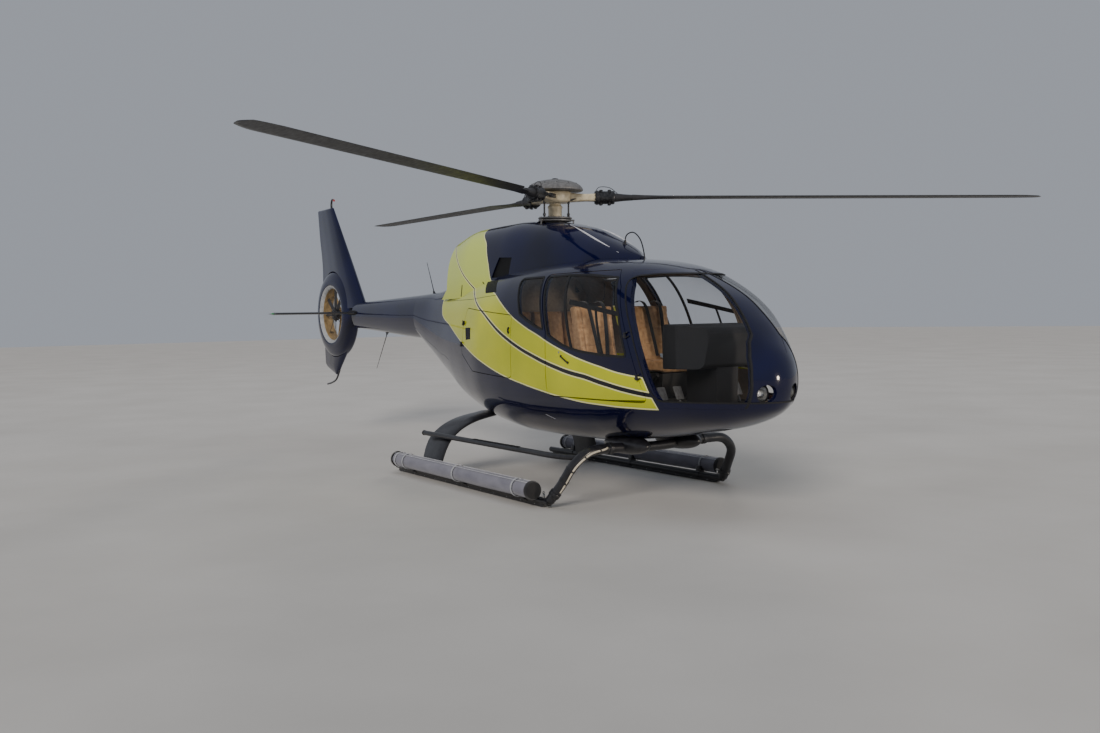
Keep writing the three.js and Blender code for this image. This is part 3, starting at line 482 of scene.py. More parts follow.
def smooth_by_field(mesh, field, inner_slot=None):
    """Shade the skin by the true surface and leave the cut edges flat."""
    totals = read(mesh.polygons, "loop_total", int)
    loop_face = np.repeat(np.arange(len(totals)), totals)
    face_normals = read(mesh.polygons, "normal", width=3)[loop_face]
    vertex_normals = gradient(field, points_of(mesh))[read(mesh.loops, "vertex_index", int)]
    match = np.sum(face_normals * vertex_normals, axis=1)
    along_skin = np.abs(match) > SKIN_MATCH
    chosen = np.where(along_skin[:, None], np.sign(match)[:, None] * vertex_normals, face_normals)
    if inner_slot is not None:
        middle = np.zeros(len(totals))
        np.add.at(middle, loop_face, match)
        slots = np.where(middle / totals < -SKIN_MATCH, inner_slot, 0)
        mesh.polygons.foreach_set("material_index", slots.astype(np.int32))
    mesh.polygons.foreach_set("use_smooth", np.ones(len(totals), bool))
    mesh.normals_split_custom_set(chosen.tolist())


def add(name, mesh, materials, replaces=(), smooth=35, body="airframe"):
    """A finished piece that rides on a body; smooth is the angle in degrees that stays sharp."""
    if not isinstance(materials, (list, tuple)):
        materials = [materials]
    mesh.name = name
    mesh.materials.clear()
    for material in materials:
        mesh.materials.append(material)
    if smooth:
        mesh.polygons.foreach_set("use_smooth", np.ones(len(mesh.polygons), bool))
        mesh.set_sharp_from_angle(angle=math.radians(smooth))
    piece = stand(name, mesh)
    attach(piece, body)
    if replaces:
        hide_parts(*replaces)
    return piece


def solid(name, mesh, materials, smooth=35, body="airframe"):
    """A finished piece that stands for the solid of its own name."""
    return add(name, mesh, materials, [name], smooth, body)


def joined(meshes):
    """Several meshes as one, material slots kept."""
    return closed(opened(*meshes))


def moved(mesh, matrix):
    """A copy of the mesh moved by a matrix in mast millimetres."""
    points = points_of(mesh)
    there = np.c_[points, np.ones(len(points))] @ np.array(matrix).T
    copy = mesh.copy()
    set_points(copy, there[:, :3])
    return copy


def mirrored(mesh):
    """The mesh on the other side of the aircraft."""
    work = opened(mesh)
    for vertex in work.verts:
        vertex.co.y = -vertex.co.y
    bmesh.ops.reverse_faces(work, faces=work.faces)
    return closed(work)


def biggest(mesh):
    """The largest separate part of a mesh."""
    work = opened(mesh)
    left = set(work.verts)
    parts = []
    while left:
        stack = [left.pop()]
        part = set(stack)
        while stack:
            for edge in stack.pop().link_edges:
                for vertex in edge.verts:
                    if vertex in left:
                        left.discard(vertex)
                        part.add(vertex)
                        stack.append(vertex)
        parts.append(part)
    keep = max(parts, key=len)
    bmesh.ops.delete(work, geom=[v for v in work.verts if v not in keep], context="VERTS")
    return closed(work)


def frame_at(origin, up, ahead=(1, 0, 0)):
    """A matrix whose Z points along up and whose X leans towards ahead."""
    z = Vector(up).normalized()
    x = Vector(ahead) - z * Vector(ahead).dot(z)
    if x.length < 1e-6:
        x = z.orthogonal()
    x.normalize()
    y = z.cross(x)
    matrix = Matrix((x, y, z)).transposed().to_4x4()
    matrix.translation = Vector(origin)
    return matrix


def turned(profile, segments=48, matrix=None):
    """A profile of (radius, height) turned round Z; it starts and ends on the axis or closes."""
    profile = np.asarray(profile, float)
    angles = np.arange(segments) * 2 * math.pi / segments
    points = []
    faces = []
    rows = []
    for radius, height in profile:
        if radius < 1e-6:
            rows.append([len(points)])
            points.append((0, 0, height))
        else:
            rows.append(list(range(len(points), len(points) + segments)))
            points.extend((radius * math.cos(a), radius * math.sin(a), height) for a in angles)
    for one, two in zip(rows[:-1], rows[1:]):
        for k in range(segments):
            after = (k + 1) % segments
            quad = [one[k % len(one)], one[after % len(one)], two[after % len(two)], two[k % len(two)]]
            corners = list(dict.fromkeys(quad))
            if len(corners) > 2:
                faces.append(tuple(corners))
    if profile[0, 0] > 1e-6:
        one, two = rows[-1], rows[0]
        if np.allclose(profile[0], profile[-1]):
            faces = [tuple(two[i - one[0]] if i >= one[0] else i for i in face) for face in faces]
            points = points[:one[0]]
        else:
            for k in range(segments):
                after = (k + 1) % segments
                faces.append((one[k], one[after], two[after], two[k]))
    mesh = make_mesh(points, faces)
    return moved(mesh, matrix) if matrix is not None else mesh


def rod_profile(radius, length, round_off=0.0):
    """The profile of a rod along Z with softened ends."""
    r = min(round_off, radius * 0.9)
    return [
        (0, 0), (radius - r, 0), (radius - 0.3 * r, 0.3 * r), (radius, r),
        (radius, length - r), (radius - 0.3 * r, length - 0.3 * r), (radius - r, length), (0, length),
    ]


def rod(start, end, radius, segments=20, round_off=2.0):
    """A round rod between two points."""
    start = Vector(start)
    axis = Vector(end) - start
    return turned(rod_profile(radius, axis.length, round_off), segments, frame_at(start, axis))


def ring_profile(inner, outer, low, high, soft=2.0):
    """The closed profile of a turned ring with soft edges."""
    return [
        (inner, low + soft), (inner + soft, low), (outer - soft, low), (outer, low + soft),
        (outer, high - soft), (outer - soft, high), (inner + soft, high), (inner, high - soft),
        (inner, low + soft),
    ]


def through(path, steps):
    """Points spread evenly along a smooth curve through the path."""
    path = np.asarray(path, float)
    chord = np.linalg.norm(np.diff(path, axis=0), axis=1) ** 0.5
    knots = np.concatenate([[0], np.cumsum(chord)])
    before = 2 * path[0] - path[1]
    after = 2 * path[-1] - path[-2]
    padded = np.concatenate([[before], path, [after]])
    padded_knots = np.concatenate([[-chord[0]], knots, [knots[-1] + chord[-1]]])
    dense = []
    for i in range(len(path) - 1):
        t0, t1, t2, t3 = padded_knots[i:i + 4]
        p0, p1, p2, p3 = padded[i:i + 4]
        for t in np.linspace(t1, t2, 24, endpoint=False):
            a1 = (t1 - t) / (t1 - t0) * p0 + (t - t0) / (t1 - t0) * p1
            a2 = (t2 - t) / (t2 - t1) * p1 + (t - t1) / (t2 - t1) * p2
            a3 = (t3 - t) / (t3 - t2) * p2 + (t - t2) / (t3 - t2) * p3
            b1 = (t2 - t) / (t2 - t0) * a1 + (t - t0) / (t2 - t0) * a2
            b2 = (t3 - t) / (t3 - t1) * a2 + (t - t1) / (t3 - t1) * a3
            dense.append((t2 - t) / (t2 - t1) * b1 + (t - t1) / (t2 - t1) * b2)
    dense.append(path[-1])
    dense = np.array(dense)
    return evenly(dense, dense, steps + 1)


def tube(path, radius, sides=18, steps=60, squash=None):
    """A tube along a path, its ends softened; radius may be a function of the share of its length."""
    points = through(path, steps)
    tangents = np.gradient(points, axis=0)
    tangents /= np.linalg.norm(tangents, axis=1)[:, None]
    normal = Vector(tangents[0]).orthogonal().normalized()
    if abs(tangents[0][1]) < 0.95:
        normal = Vector(PORT) - Vector(tangents[0]) * tangents[0][1]
    rings = []
    for i, (point, tangent) in enumerate(zip(points, tangents)):
        tangent = Vector(tangent)
        normal = (normal - tangent * normal.dot(tangent)).normalized()
        other = tangent.cross(normal)
        share = i / steps
        size = radius(share) if callable(radius) else radius
        flat = squash(share) if squash else 1
        ring = []
        for k in range(sides):
            a = 2 * math.pi * k / sides
            ring.append(Vector(point) + normal * math.cos(a) * size + other * math.sin(a) * size * flat)
        rings.append([list(p) for p in ring])
    rings = np.array(rings)
    size = radius(0) if callable(radius) else radius
    caps = []
    for end, sign in ((0, -1), (-1, 1)):
        middle = rings[end].mean(axis=0)
        caps.append(middle + (rings[end] - middle) * 0.72 + tangents[end] * sign * size * 0.22)
    return loft(np.concatenate([caps[:1], rings, caps[1:]]))


def box(size, matrix, soft=3.0):
    """A block with bevelled edges, its middle at the matrix's origin."""
    work = bmesh.new()
    bmesh.ops.create_cube(work, size=1)
    for vertex in work.verts:
        vertex.co = Vector((vertex.co.x * size[0], vertex.co.y * size[1], vertex.co.z * size[2]))
    bmesh.ops.bevel(
        work, geom=work.edges[:], offset=min(soft, 0.45 * min(size)), segments=2, affect="EDGES",
        profile=0.5,
    )
    work.transform(Matrix.Scale(0.001, 4) @ Matrix.Translation((ROW_X, 0, 0)) @ matrix)
    bmesh.ops.recalc_face_normals(work, faces=work.faces)
    return closed(work)


# Materials

def put(tree, kind, inputs=None, **settings):
    """A new shader node with its inputs linked or set."""
    node = tree.nodes.new(kind)
    for key, value in settings.items():
        setattr(node, key, value)
    for socket, value in (inputs or {}).items():
        if isinstance(value, bpy.types.NodeSocket):
            tree.links.new(value, node.inputs[socket])
        else:
            node.inputs[socket].default_value = value
    return node


def calc(tree, operation, one, two=0.0):
    """One sum of two shader values."""
    return put(tree, "ShaderNodeMath", {0: one, 1: two}, operation=operation).outputs[0]


def mix(tree, share, one, two):
    """Two colours mixed by a share."""
    node = put(tree, "ShaderNodeMix", {0: share, 6: one, 7: two}, data_type="RGBA")
    return node.outputs[2]


def coords(tree, scale=(1, 1, 1)):
    """The object's own coordinates, stretched."""
    texture = put(tree, "ShaderNodeTexCoord").outputs["Object"]
    return put(tree, "ShaderNodeMapping", {"Vector": texture, "Scale": scale}).outputs[0]


def noise(tree, scale, detail=3.0, stretch=(1, 1, 1)):
    """A noise pattern in the object's own coordinates."""
    inputs = {"Vector": coords(tree, stretch), "Scale": scale, "Detail": detail}
    return put(tree, "ShaderNodeTexNoise", inputs).outputs[0]


def ramp(tree, share, stops):
    """A colour for each share, from stops of position and colour."""
    node = put(tree, "ShaderNodeValToRGB", {0: share})
    elements = node.color_ramp.elements
    while len(elements) < len(stops):
        elements.new(0.5)
    for element, (position, color) in zip(elements, stops):
        element.position = position
        element.color = (*color, 1)
    return node.outputs[0]


def spread(tree, value, low, high, from_low=0.3, from_high=0.7):
    """A value moved from one range to another."""
    inputs = {0: value, 1: from_low, 2: from_high, 3: low, 4: high}
    return put(tree, "ShaderNodeMapRange", inputs).outputs[0]


def bump(tree, height, distance, strength=1.0):
    """A bumped normal from a height."""
    inputs = {"Height": height, "Distance": distance, "Strength": strength}
    return put(tree, "ShaderNodeBump", inputs).outputs[0]


def start_material(name, **sockets):
    """A new material: itself, its node tree and its shader."""
    material = bpy.data.materials.new(name)
    material.use_nodes = True
    tree = material.node_tree
    shader = tree.nodes["Principled BSDF"]
    for socket, value in sockets.items():
        shader.inputs[socket.replace("_", " ")].default_value = value
    return material, tree, shader


def feed(tree, shader, **links):
    """Link values to the shader's inputs."""
    for socket, source in links.items():
        tree.links.new(source, shader.inputs[socket.replace("_", " ")])


def attribute(tree, name):
    """A stored value of the mesh, read in the shader."""
    return put(tree, "ShaderNodeAttribute", attribute_name=name).outputs["Fac"]


def surface(name, dark, light, rough=(0.4, 0.55), grain=40.0, bump_mm=0.0, stretch=(1, 1, 1), **sockets):
    """A material with mottled colour, uneven gloss and a fine bump."""
    material, tree, shader = start_material(name, **sockets)
    clouds = noise(tree, grain, 5.0, stretch)
    color = ramp(tree, clouds, [(0.32, dark), (0.68, light)])
    fine = noise(tree, grain * 7, 3.0, stretch)
    feed(tree, shader, Base_Color=color, Roughness=spread(tree, fine, *rough))
    if bump_mm:
        feed(tree, shader, Normal=bump(tree, fine, bump_mm / 1000, 0.6))
    return material


NAVY = [(0.0012, 0.0020, 0.018), (0.0022, 0.0034, 0.030)]
GREEN = [(0.44, 0.47, 0.008), (0.52, 0.54, 0.014)]
# The paler green is a painted reflection of the sky, laid over the band's upper part.
SKY_REFLECTION_GREEN = (0.50, 0.60, 0.14)
OUTLINE = (0.78, 0.76, 0.42)
OUTLINE_AT = 6.0
STRIPE = (0.003, 0.003, 0.006)


def gloss_paint(name):
    """Gloss navy paint under a clear coat; a caller may give it another colour."""
    material, tree, shader = start_material(
        name, Coat_Weight=0.75, Coat_Roughness=0.03, Specular_IOR_Level=0.12,
    )
    mottle = noise(tree, 2.2, 4.0)
    navy = ramp(tree, mottle, [(0.3, NAVY[0]), (0.7, NAVY[1])])
    feed(
        tree, shader, Base_Color=navy,
        Roughness=spread(tree, noise(tree, 14.0, 6.0), 0.13, 0.22),
        Normal=bump(tree, noise(tree, 5.0, 2.0), 0.0012, 0.35),
    )
    return material, tree, shader, mottle, navy


def paint_material():
    """Gloss navy with the two green bands, whose lines are stored on the points of each skin."""
    material, tree, shader, mottle, navy = gloss_paint("body_paint")
    green = ramp(tree, mottle, [(0.3, GREEN[0]), (0.7, GREEN[1])])
    # The green turns paler from 1.72 m to 2.15 m up: a painted reflection of the sky on the band's upper
    # part.
    height = put(tree, "ShaderNodeSeparateXYZ", {0: coords(tree)}).outputs[2]
    green = mix(tree, spread(tree, height, 0.0, 0.85, 1.72, 2.15), green, (*SKY_REFLECTION_GREEN, 1))
    inside = calc(tree, "MINIMUM", attribute(tree, "band_upper"), attribute(tree, "band_lower"))
    inside = calc(tree, "MINIMUM", inside, attribute(tree, "band_front"))
    off_stripe = calc(tree, "ABSOLUTE", attribute(tree, "stripe_off"))
    off_stripe = calc(tree, "SUBTRACT", off_stripe, attribute(tree, "stripe_half"))
    fill = calc(tree, "MINIMUM", inside, off_stripe)
    green_share = spread(tree, fill, 0.0, 1.0, -1.0, 1.0)
    edge = calc(tree, "ABSOLUTE", calc(tree, "SUBTRACT", fill, OUTLINE_AT))
    edge_share = spread(tree, edge, 1.0, 0.0, 5.0, 7.0)
    dark_stripe = calc(tree, "MINIMUM", inside, calc(tree, "MULTIPLY", off_stripe, -1.0))
    stripe_share = spread(tree, dark_stripe, 0.0, 1.0, -1.0, 1.0)
    color = mix(tree, green_share, navy, green)
    color = mix(tree, calc(tree, "MULTIPLY", edge_share, 0.8), color, (*OUTLINE, 1))
    color = mix(tree, stripe_share, color, (*STRIPE, 1))
    feed(tree, shader, Base_Color=color)
    return material


def glass_material(name, tint, least):
    """Tinted glazing that turns into a mirror towards its edges, with a trace of dust."""
    material, tree, shader = start_material(name, Roughness=0.02, IOR=1.7, Specular_IOR_Level=0.7)
    dust = noise(tree, 9.0, 6.0, (1, 1, 0.4))
    feed(tree, shader, Base_Color=ramp(tree, dust, [(0.35, tint), (0.75, tuple(2 * c for c in tint))]))
    facing = put(tree, "ShaderNodeLayerWeight", {"Blend": 0.5}).outputs["Facing"]
    rim = calc(tree, "POWER", facing, 4.0)
    share = calc(tree, "ADD", rim, spread(tree, dust, least, least + 0.03))
    feed(tree, shader, Alpha=calc(tree, "MINIMUM", share, 1.0))
    return material


def leather_material(name, dark, light):
    """Leather with pores, creases and a soft sheen."""
    material, tree, shader = start_material(name, Specular_IOR_Level=0.35, Sheen_Weight=0.15)
    cells = put(tree, "ShaderNodeTexVoronoi", {"Vector": coords(tree), "Scale": 420.0})
    creases = noise(tree, 26.0, 6.0)
    color = ramp(tree, creases, [(0.3, dark), (0.7, light)])
    height = calc(tree, "ADD", calc(tree, "MULTIPLY", cells.outputs[0], 0.5), creases)
    feed(
        tree, shader, Base_Color=color, Roughness=spread(tree, creases, 0.42, 0.6),
        Normal=bump(tree, height, 0.0009, 0.7),
    )
    return material


def weave(tree, scale, distortion=0.0):
    """Bands along X and bands along Z, which cross as threads do."""
    inputs = {"Vector": coords(tree), "Scale": scale, "Distortion": distortion}
    return [
        put(tree, "ShaderNodeTexWave", inputs, bands_direction=direction).outputs["Fac"]
        for direction in ("X", "Z")
    ]


def fabric_material(name, dark, light, threads=900.0):
    """Coated cloth with a square weave and soft folds."""
    material, tree, shader = start_material(name, Specular_IOR_Level=0.25, Sheen_Weight=0.25)
    threads_show = calc(tree, "MULTIPLY", *weave(tree, threads / 20, 0.4))
    stains = noise(tree, 5.0, 6.0, (1, 1, 2))
    stained = ramp(tree, stains, [(0.3, dark), (0.7, light)])
    folds = noise(tree, 16.0, 4.0, (0.35, 1, 1))
    height = calc(tree, "ADD", calc(tree, "MULTIPLY", folds, 6.0), threads_show)
    feed(
        tree, shader, Base_Color=mix(tree, calc(tree, "MULTIPLY", threads_show, 0.25), stained, (*light, 1)),
        Roughness=spread(tree, stains, 0.62, 0.85), Normal=bump(tree, height, 0.0005, 0.8),
    )
    return material


def screen_material(name):
    """Black woven wire in a fine square mesh; the near-black between its threads is painted shade for a dark
    space behind.
    """
    material, tree, shader = start_material(name, Metallic=0.6)
    height = calc(tree, "MAXIMUM", *weave(tree, 40.0))
    # Between the threads the colour is near-black painted shade.
    color = ramp(tree, height, [(0.6, (0.001, 0.001, 0.001)), (0.95, (0.016, 0.016, 0.017))])
    feed(tree, shader, Base_Color=color, Roughness=spread(tree, height, 0.8, 0.4),
         Normal=bump(tree, height, 0.0015, 0.8))
    return material


PAINT = paint_material()
NAVY_PAINT = gloss_paint("navy_paint")[0]
TRIM = surface("cabin_trim", (0.19, 0.15, 0.11), (0.24, 0.19, 0.14), (0.55, 0.75), 30, 0.3)
GLASS = glass_material("window_glass", (0.040, 0.050, 0.062), 0.11)
CANOPY_GLASS = glass_material("canopy_glass", (0.008, 0.010, 0.013), 0.08)
RUBBER = surface("rubber_seal", (0.006, 0.006, 0.007), (0.014, 0.014, 0.015), (0.5, 0.7), 60, 0.3)
GEAR = surface("gear_black", (0.006, 0.006, 0.008), (0.016, 0.016, 0.020), (0.28, 0.42), 22, 0.15,
               Coat_Weight=0.3, Coat_Roughness=0.2)
BLADE = surface("blade_composite", (0.020, 0.020, 0.023), (0.032, 0.033, 0.037), (0.45, 0.6), 6, 0.1,
                (0.3, 1, 1))
EROSION = surface("blade_edge_steel", (0.06, 0.06, 0.062), (0.10, 0.10, 0.10), (0.35, 0.5), 30, 0.1,
                  Metallic=0.7)
CREAM = surface("cream_metal", (0.44, 0.38, 0.26), (0.58, 0.52, 0.38), (0.32, 0.5), 28, 0.15)
CAST = surface("grey_metal", (0.13, 0.13, 0.135), (0.22, 0.22, 0.225), (0.4, 0.6), 35, 0.2, Metallic=0.45)
STEEL = surface("dark_steel", (0.035, 0.036, 0.04), (0.09, 0.09, 0.095), (0.3, 0.5), 50, 0.15,
                Metallic=0.85)
BRIGHT = surface("bright_steel", (0.45, 0.45, 0.45), (0.62, 0.62, 0.60), (0.18, 0.32), 60, 0.05,
                 Metallic=1.0)
GOLD = surface("duct_tan", (0.15, 0.10, 0.045), (0.27, 0.19, 0.09), (0.35, 0.55), 12, 0.2)
RING_GREY = surface("duct_ring_grey", (0.26, 0.27, 0.28), (0.36, 0.37, 0.38), (0.3, 0.45), 20, 0.1)
FABRIC = fabric_material("float_fabric", (0.125, 0.125, 0.16), (0.195, 0.195, 0.235))
WEBBING = fabric_material("black_webbing", (0.008, 0.008, 0.009), (0.02, 0.02, 0.022), 1600)
STRAP = fabric_material("pale_webbing", (0.26, 0.27, 0.30), (0.36, 0.37, 0.40), 1600)
LEATHER = leather_material("tan_leather", (0.38, 0.205, 0.09), (0.60, 0.37, 0.19))
CARPET = surface("cabin_carpet", (0.020, 0.019, 0.018), (0.045, 0.042, 0.04), (0.85, 0.98), 300, 1.5)
PLASTIC = surface("cabin_plastic", (0.010, 0.010, 0.011), (0.022, 0.022, 0.024), (0.5, 0.7), 120, 0.3)
SCREEN = screen_material("intake_screen")
# Near-black painted shade, for recesses, openings and the cowl's inside.
SHADE_BLACK = surface("painted_shade_black", (0.001, 0.001, 0.0015), (0.004, 0.004, 0.005), (0.7, 0.9), 20)
HOSE = surface("pale_hose", (0.42, 0.38, 0.30), (0.58, 0.53, 0.44), (0.4, 0.6), 60, 0.2)
PALE = surface("pale_trim", (0.45, 0.46, 0.50), (0.62, 0.63, 0.68), (0.2, 0.35), 25, 0.1)
DIAL = surface("dial_face", (0.003, 0.003, 0.004), (0.008, 0.008, 0.010), (0.15, 0.3), 50)
BURNT = surface("exhaust_steel", (0.10, 0.075, 0.055), (0.26, 0.22, 0.18), (0.35, 0.6), 12, 0.2,
                Metallic=0.9)


# Camera, stage and light

CAMERA_PLACE = (8.6025 + ROW_X / 1000, -5.9697, 1.6591)
CAMERA_YAW = math.radians(145.93)
CAMERA_PITCH = math.radians(-2.70)
CAMERA_ROLL = math.radians(-1.067)
CAMERA_FOCUS = 1019.91
PHOTO_WIDTH = 1100

sight = Vector((
    math.cos(CAMERA_YAW) * math.cos(CAMERA_PITCH),
    math.sin(CAMERA_YAW) * math.cos(CAMERA_PITCH),
    math.sin(CAMERA_PITCH),
))
level = sight.cross(Vector((0, 0, 1))).normalized()
upright = level.cross(sight)
camera_x = level * math.cos(CAMERA_ROLL) + upright * math.sin(CAMERA_ROLL)
camera_y = upright * math.cos(CAMERA_ROLL) - level * math.sin(CAMERA_ROLL)
lens = bpy.data.cameras.new("camera")
lens.sensor_width = 36
lens.sensor_fit = "HORIZONTAL"
lens.lens = CAMERA_FOCUS / PHOTO_WIDTH * lens.sensor_width
lens.clip_end = 500
camera = stand("camera", lens)
camera_matrix = Matrix((camera_x, camera_y, -sight)).transposed().to_4x4()
camera_matrix.translation = Vector(CAMERA_PLACE)
camera.matrix_world = camera_matrix
bpy.context.scene.camera = camera

FLOOR_HALF = 90
floor_mesh = bpy.data.meshes.new("studio_floor")
floor_mesh.from_pydata(
    [(-FLOOR_HALF, -FLOOR_HALF, 0), (FLOOR_HALF, -FLOOR_HALF, 0), (FLOOR_HALF, FLOOR_HALF, 0),
     (-FLOOR_HALF, FLOOR_HALF, 0)], [], [(0, 1, 2, 3)],
)
floor_mesh.materials.append(
    surface("studio_floor", (0.44, 0.43, 0.415), (0.49, 0.48, 0.465), (0.8, 0.95), 0.6))
stand("studio_floor", floor_mesh)

world = bpy.data.worlds.new("studio")
world.use_nodes = True
world.node_tree.nodes["Background"].inputs[0].default_value = (0.80, 0.85, 0.95, 1)
world.node_tree.nodes["Background"].inputs[1].default_value = 0.42
bpy.context.scene.world = world

LIGHT_TARGET = (0, 0, 1)


def soft_light(name, kind, place, color, mirrored_in_gloss=False, **settings):
    """A studio light turned to the cab. A broad fill leaves no patch of its own in gloss and glass."""
    lamp = bpy.data.lights.new(name, kind)
    lamp.color = color
    for key, value in settings.items():
        setattr(lamp, key, value)
    holder = stand(name, lamp)
    holder.visible_glossy = mirrored_in_gloss
    turn = (Vector(place) - Vector(LIGHT_TARGET)).to_track_quat("Z", "Y").to_matrix().to_4x4()
    holder.matrix_world = Matrix.Translation(place) @ turn


soft_light("key", "SUN", (9, -12, 9), (1.0, 0.93, 0.84), energy=2.6, angle=math.radians(22))
soft_light("sky", "AREA", (-4, 3, 26), (0.86, 0.93, 1.0), energy=1300, size=34)
soft_light("sky_gloss", "AREA", (-4, 3, 26), (0.72, 0.86, 1.0), True, energy=220, size=34)
soft_light("rim", "SUN", (-10, 9, 5), (1.0, 0.88, 0.76), energy=0.9, angle=math.radians(12))
soft_light("low_sun", "SUN", (14, 5.4, 1.9), (1.0, 0.86, 0.70), True, energy=0.9, angle=math.radians(7))


# Cabin shell and its openings

PILLAR = [(2285, FLOOR_Z), (2190, 1140), (2030, 1550), (1862, 1920), (1745, ROOF_Z)]
PILLAR_WIDTH = 105
DOOR_SILL_Z = 945
DOOR_HEAD_Z = 2074
DOOR_REAR_GAP = 12
DOOR_LOW_X = 802
DOOR_BEND_Z = 1530
DOOR_HEAD_X = 606
FRAME_REAR_X = 900
SLIDING_SILL_Z = 960
ROOF_EDGE = [(3200, ROOF_Z), (1745, ROOF_Z), (1640, RAIL_Z), (SIDE_BACK, RAIL_Z)]

canopy_outline = [*PILLAR, (3200, ROOF_Z), (3200, FLOOR_Z)]
frame_outline = [
    *[(x - SEAM, z) for x, z in PILLAR], (1640, RAIL_Z), (FRAME_REAR_X, RAIL_Z), (FRAME_REAR_X, FLOOR_Z),
]
side_outline = [
    (FRAME_REAR_X - SEAM, FLOOR_Z), (FRAME_REAR_X - SEAM, RAIL_Z), (SIDE_BACK, RAIL_Z),
    (SIDE_BACK, FLOOR_Z),
]
door_opening = rounded([
    (DOOR_LOW_X, DOOR_SILL_Z, 90),
    (2262 - PILLAR_WIDTH, DOOR_SILL_Z, 120),
    (2190 - PILLAR_WIDTH, 1140, 0),
    (2030 - PILLAR_WIDTH, 1550, 0),
    (1862 - PILLAR_WIDTH, 1920, 0),
    (1715 - PILLAR_WIDTH, DOOR_HEAD_Z, 60),
    (DOOR_HEAD_X, DOOR_HEAD_Z, 50),
    (DOOR_LOW_X, DOOR_BEND_Z, 0),
])
door_above_sill = [
    (DOOR_LOW_X + DOOR_REAR_GAP, DOOR_SILL_Z + 8),
    (1700, DOOR_SILL_Z + 12),
    (2200, DOOR_SILL_Z + 29),
    (2200, RAIL_Z),
    (DOOR_HEAD_X + 62, RAIL_Z),
    (DOOR_HEAD_X + 36, 2030),
    (DOOR_LOW_X + DOOR_REAR_GAP, DOOR_BEND_Z + 4),
]
door_window = rounded([
    (842, 1506, 26), (1050, 1425, 0), (1200, 1390, 0), (1330, 1368, 0), (1640, 1340, 0),
    (1948, 1326, 30), (1905, 1450, 0), (1829, 1677, 0), (1660, 2000, 26), (1290, 2040, 0),
    (1010, 2052, 0), (648, 2052, 30),
])
quarter_window = rounded([
    (768, 1552, 22), (622, 1590, 0), (452, 1655, 0), (338, 1705, 45), (150, 2052, 40), (574, 2052, 30),
])
sliding_opening = rounded([
    (-180, SLIDING_SILL_Z, 120), (738, SLIDING_SILL_Z, 90), (738, DOOR_BEND_Z, 0), (548, 2060, 50),
    (60, 2060, 90), (-180, 1760, 90),
])
sliding_window = rounded([
    (40, 1560, 60), (400, 1530, 0), (696, 1500, 45), (694, 1545, 0), (514, 2034, 45), (140, 2034, 70),
    (10, 1800, 60),
])
baggage_opening = rounded([
    (200, 1080, 60), (200, 1700, 50), (-960, 1790, 60), (-1060, 1300, 70), (-700, 1120, 90),
])
NOSE_HALF = [(250, FLOOR_Z), (255, 1180), (240, 1330), (200, 1440), (150, 1500)]
POST_HALF = [(150, 1500), (100, 1750), (52, 1950), (26, ROOF_Z)]


def front_band(half):
    """A full outline from its half, mirrored."""
    return [*half, *[(-y, z) for y, z in reversed(half)]]


hull_shell = shell_mesh(hull_grid(0), hull_grid(WALL))
glass_shell = shell_mesh(hull_grid(3), hull_grid(11))
seal_shell = shell_mesh(hull_grid(-3), hull_grid(9))
film_shell = shell_mesh(hull_grid(-0.6), hull_grid(2.6))
flange_shell = shell_mesh(hull_grid(WALL + 6), hull_grid(WALL + 10))
lining_shell = shell_mesh(hull_grid(WALL + 8), hull_grid(WALL + 12))
hull_clear = loft(hull_grid(-SEAM))

band_radii = {}
for key, line in (("upper", UPPER_LINE), ("stripe", STRIPE_LINE), ("lower", LOWER_LINE)):
    line = np.array(line, float)
    phi = np.arctan2(BAND_CENTRE[1] - line[:, 1], BAND_CENTRE[0] - line[:, 0])
    radius = np.hypot(line[:, 0] - BAND_CENTRE[0], line[:, 1] - BAND_CENTRE[1])
    order = np.argsort(phi)
    band_radii[key] = curve_through(phi[order], radius[order])


def store_paint_lines(mesh):
    """Distances to the paint lines, kept on the points for the paint's nodes."""
    p = points_of(mesh)
    phi = np.arctan2(BAND_CENTRE[1] - p[:, 2], BAND_CENTRE[0] - p[:, 0])
    radius = np.hypot(p[:, 0] - BAND_CENTRE[0], p[:, 2] - BAND_CENTRE[1])
    heights, fronts = zip(*BAND_FRONT)
    values = {
        "band_upper": radius - band_radii["upper"](phi),
        "band_lower": band_radii["lower"](phi) - radius,
        "band_front": np.interp(p[:, 2], heights, fronts) - p[:, 0],
        "stripe_off": radius - band_radii["stripe"](phi),
        "stripe_half": np.interp(np.degrees(phi), [15, 30, 48, 100], [6, 9, 15, 19]),
    }
    for name, value in values.items():
        layer = mesh.attributes.new(name, "FLOAT", "POINT")
        layer.data.foreach_set("value", value)


def skin(name, mesh, field=hull_field, inner=TRIM, body="airframe"):
    """A painted panel with its true surface normals, which stands for the solid of its name."""
    solid(name, mesh, [PAINT, inner], None, body)
    store_paint_lines(mesh)
    smooth_by_field(mesh, field, 1)


def pane(name, mesh, replaces=(), material=GLASS, field=hull_field, body="airframe"):
    """A piece of one material that lies in the skin."""
    add(name, mesh, material, replaces, None, body)
    smooth_by_field(mesh, field)


def outer_sheet(mesh, field=hull_field):
    """Only the outer face of a layer, so that light meets each window once."""
    work = opened(mesh)
    faces = list(work.faces)
    outward = gradient(field, from_row([face.calc_center_median() for face in faces]))
    facing = np.sum(outward * np.array([face.normal for face in faces]), axis=1)
    drop = [face for face, match in zip(faces, facing) if match < 0.5]
    bmesh.ops.delete(work, geom=drop, context="FACES")
    return closed(work)


def seal(name, outline, sign, outer=9, inner=10, body="airframe"):
    """A rubber frame that follows a window's edge on the skin."""
    mesh = cut_side(seal_shell, sign, [grow(outline, outer)], [grow(outline, -inner)])
    pane(name, mesh, (), RUBBER, body=body)


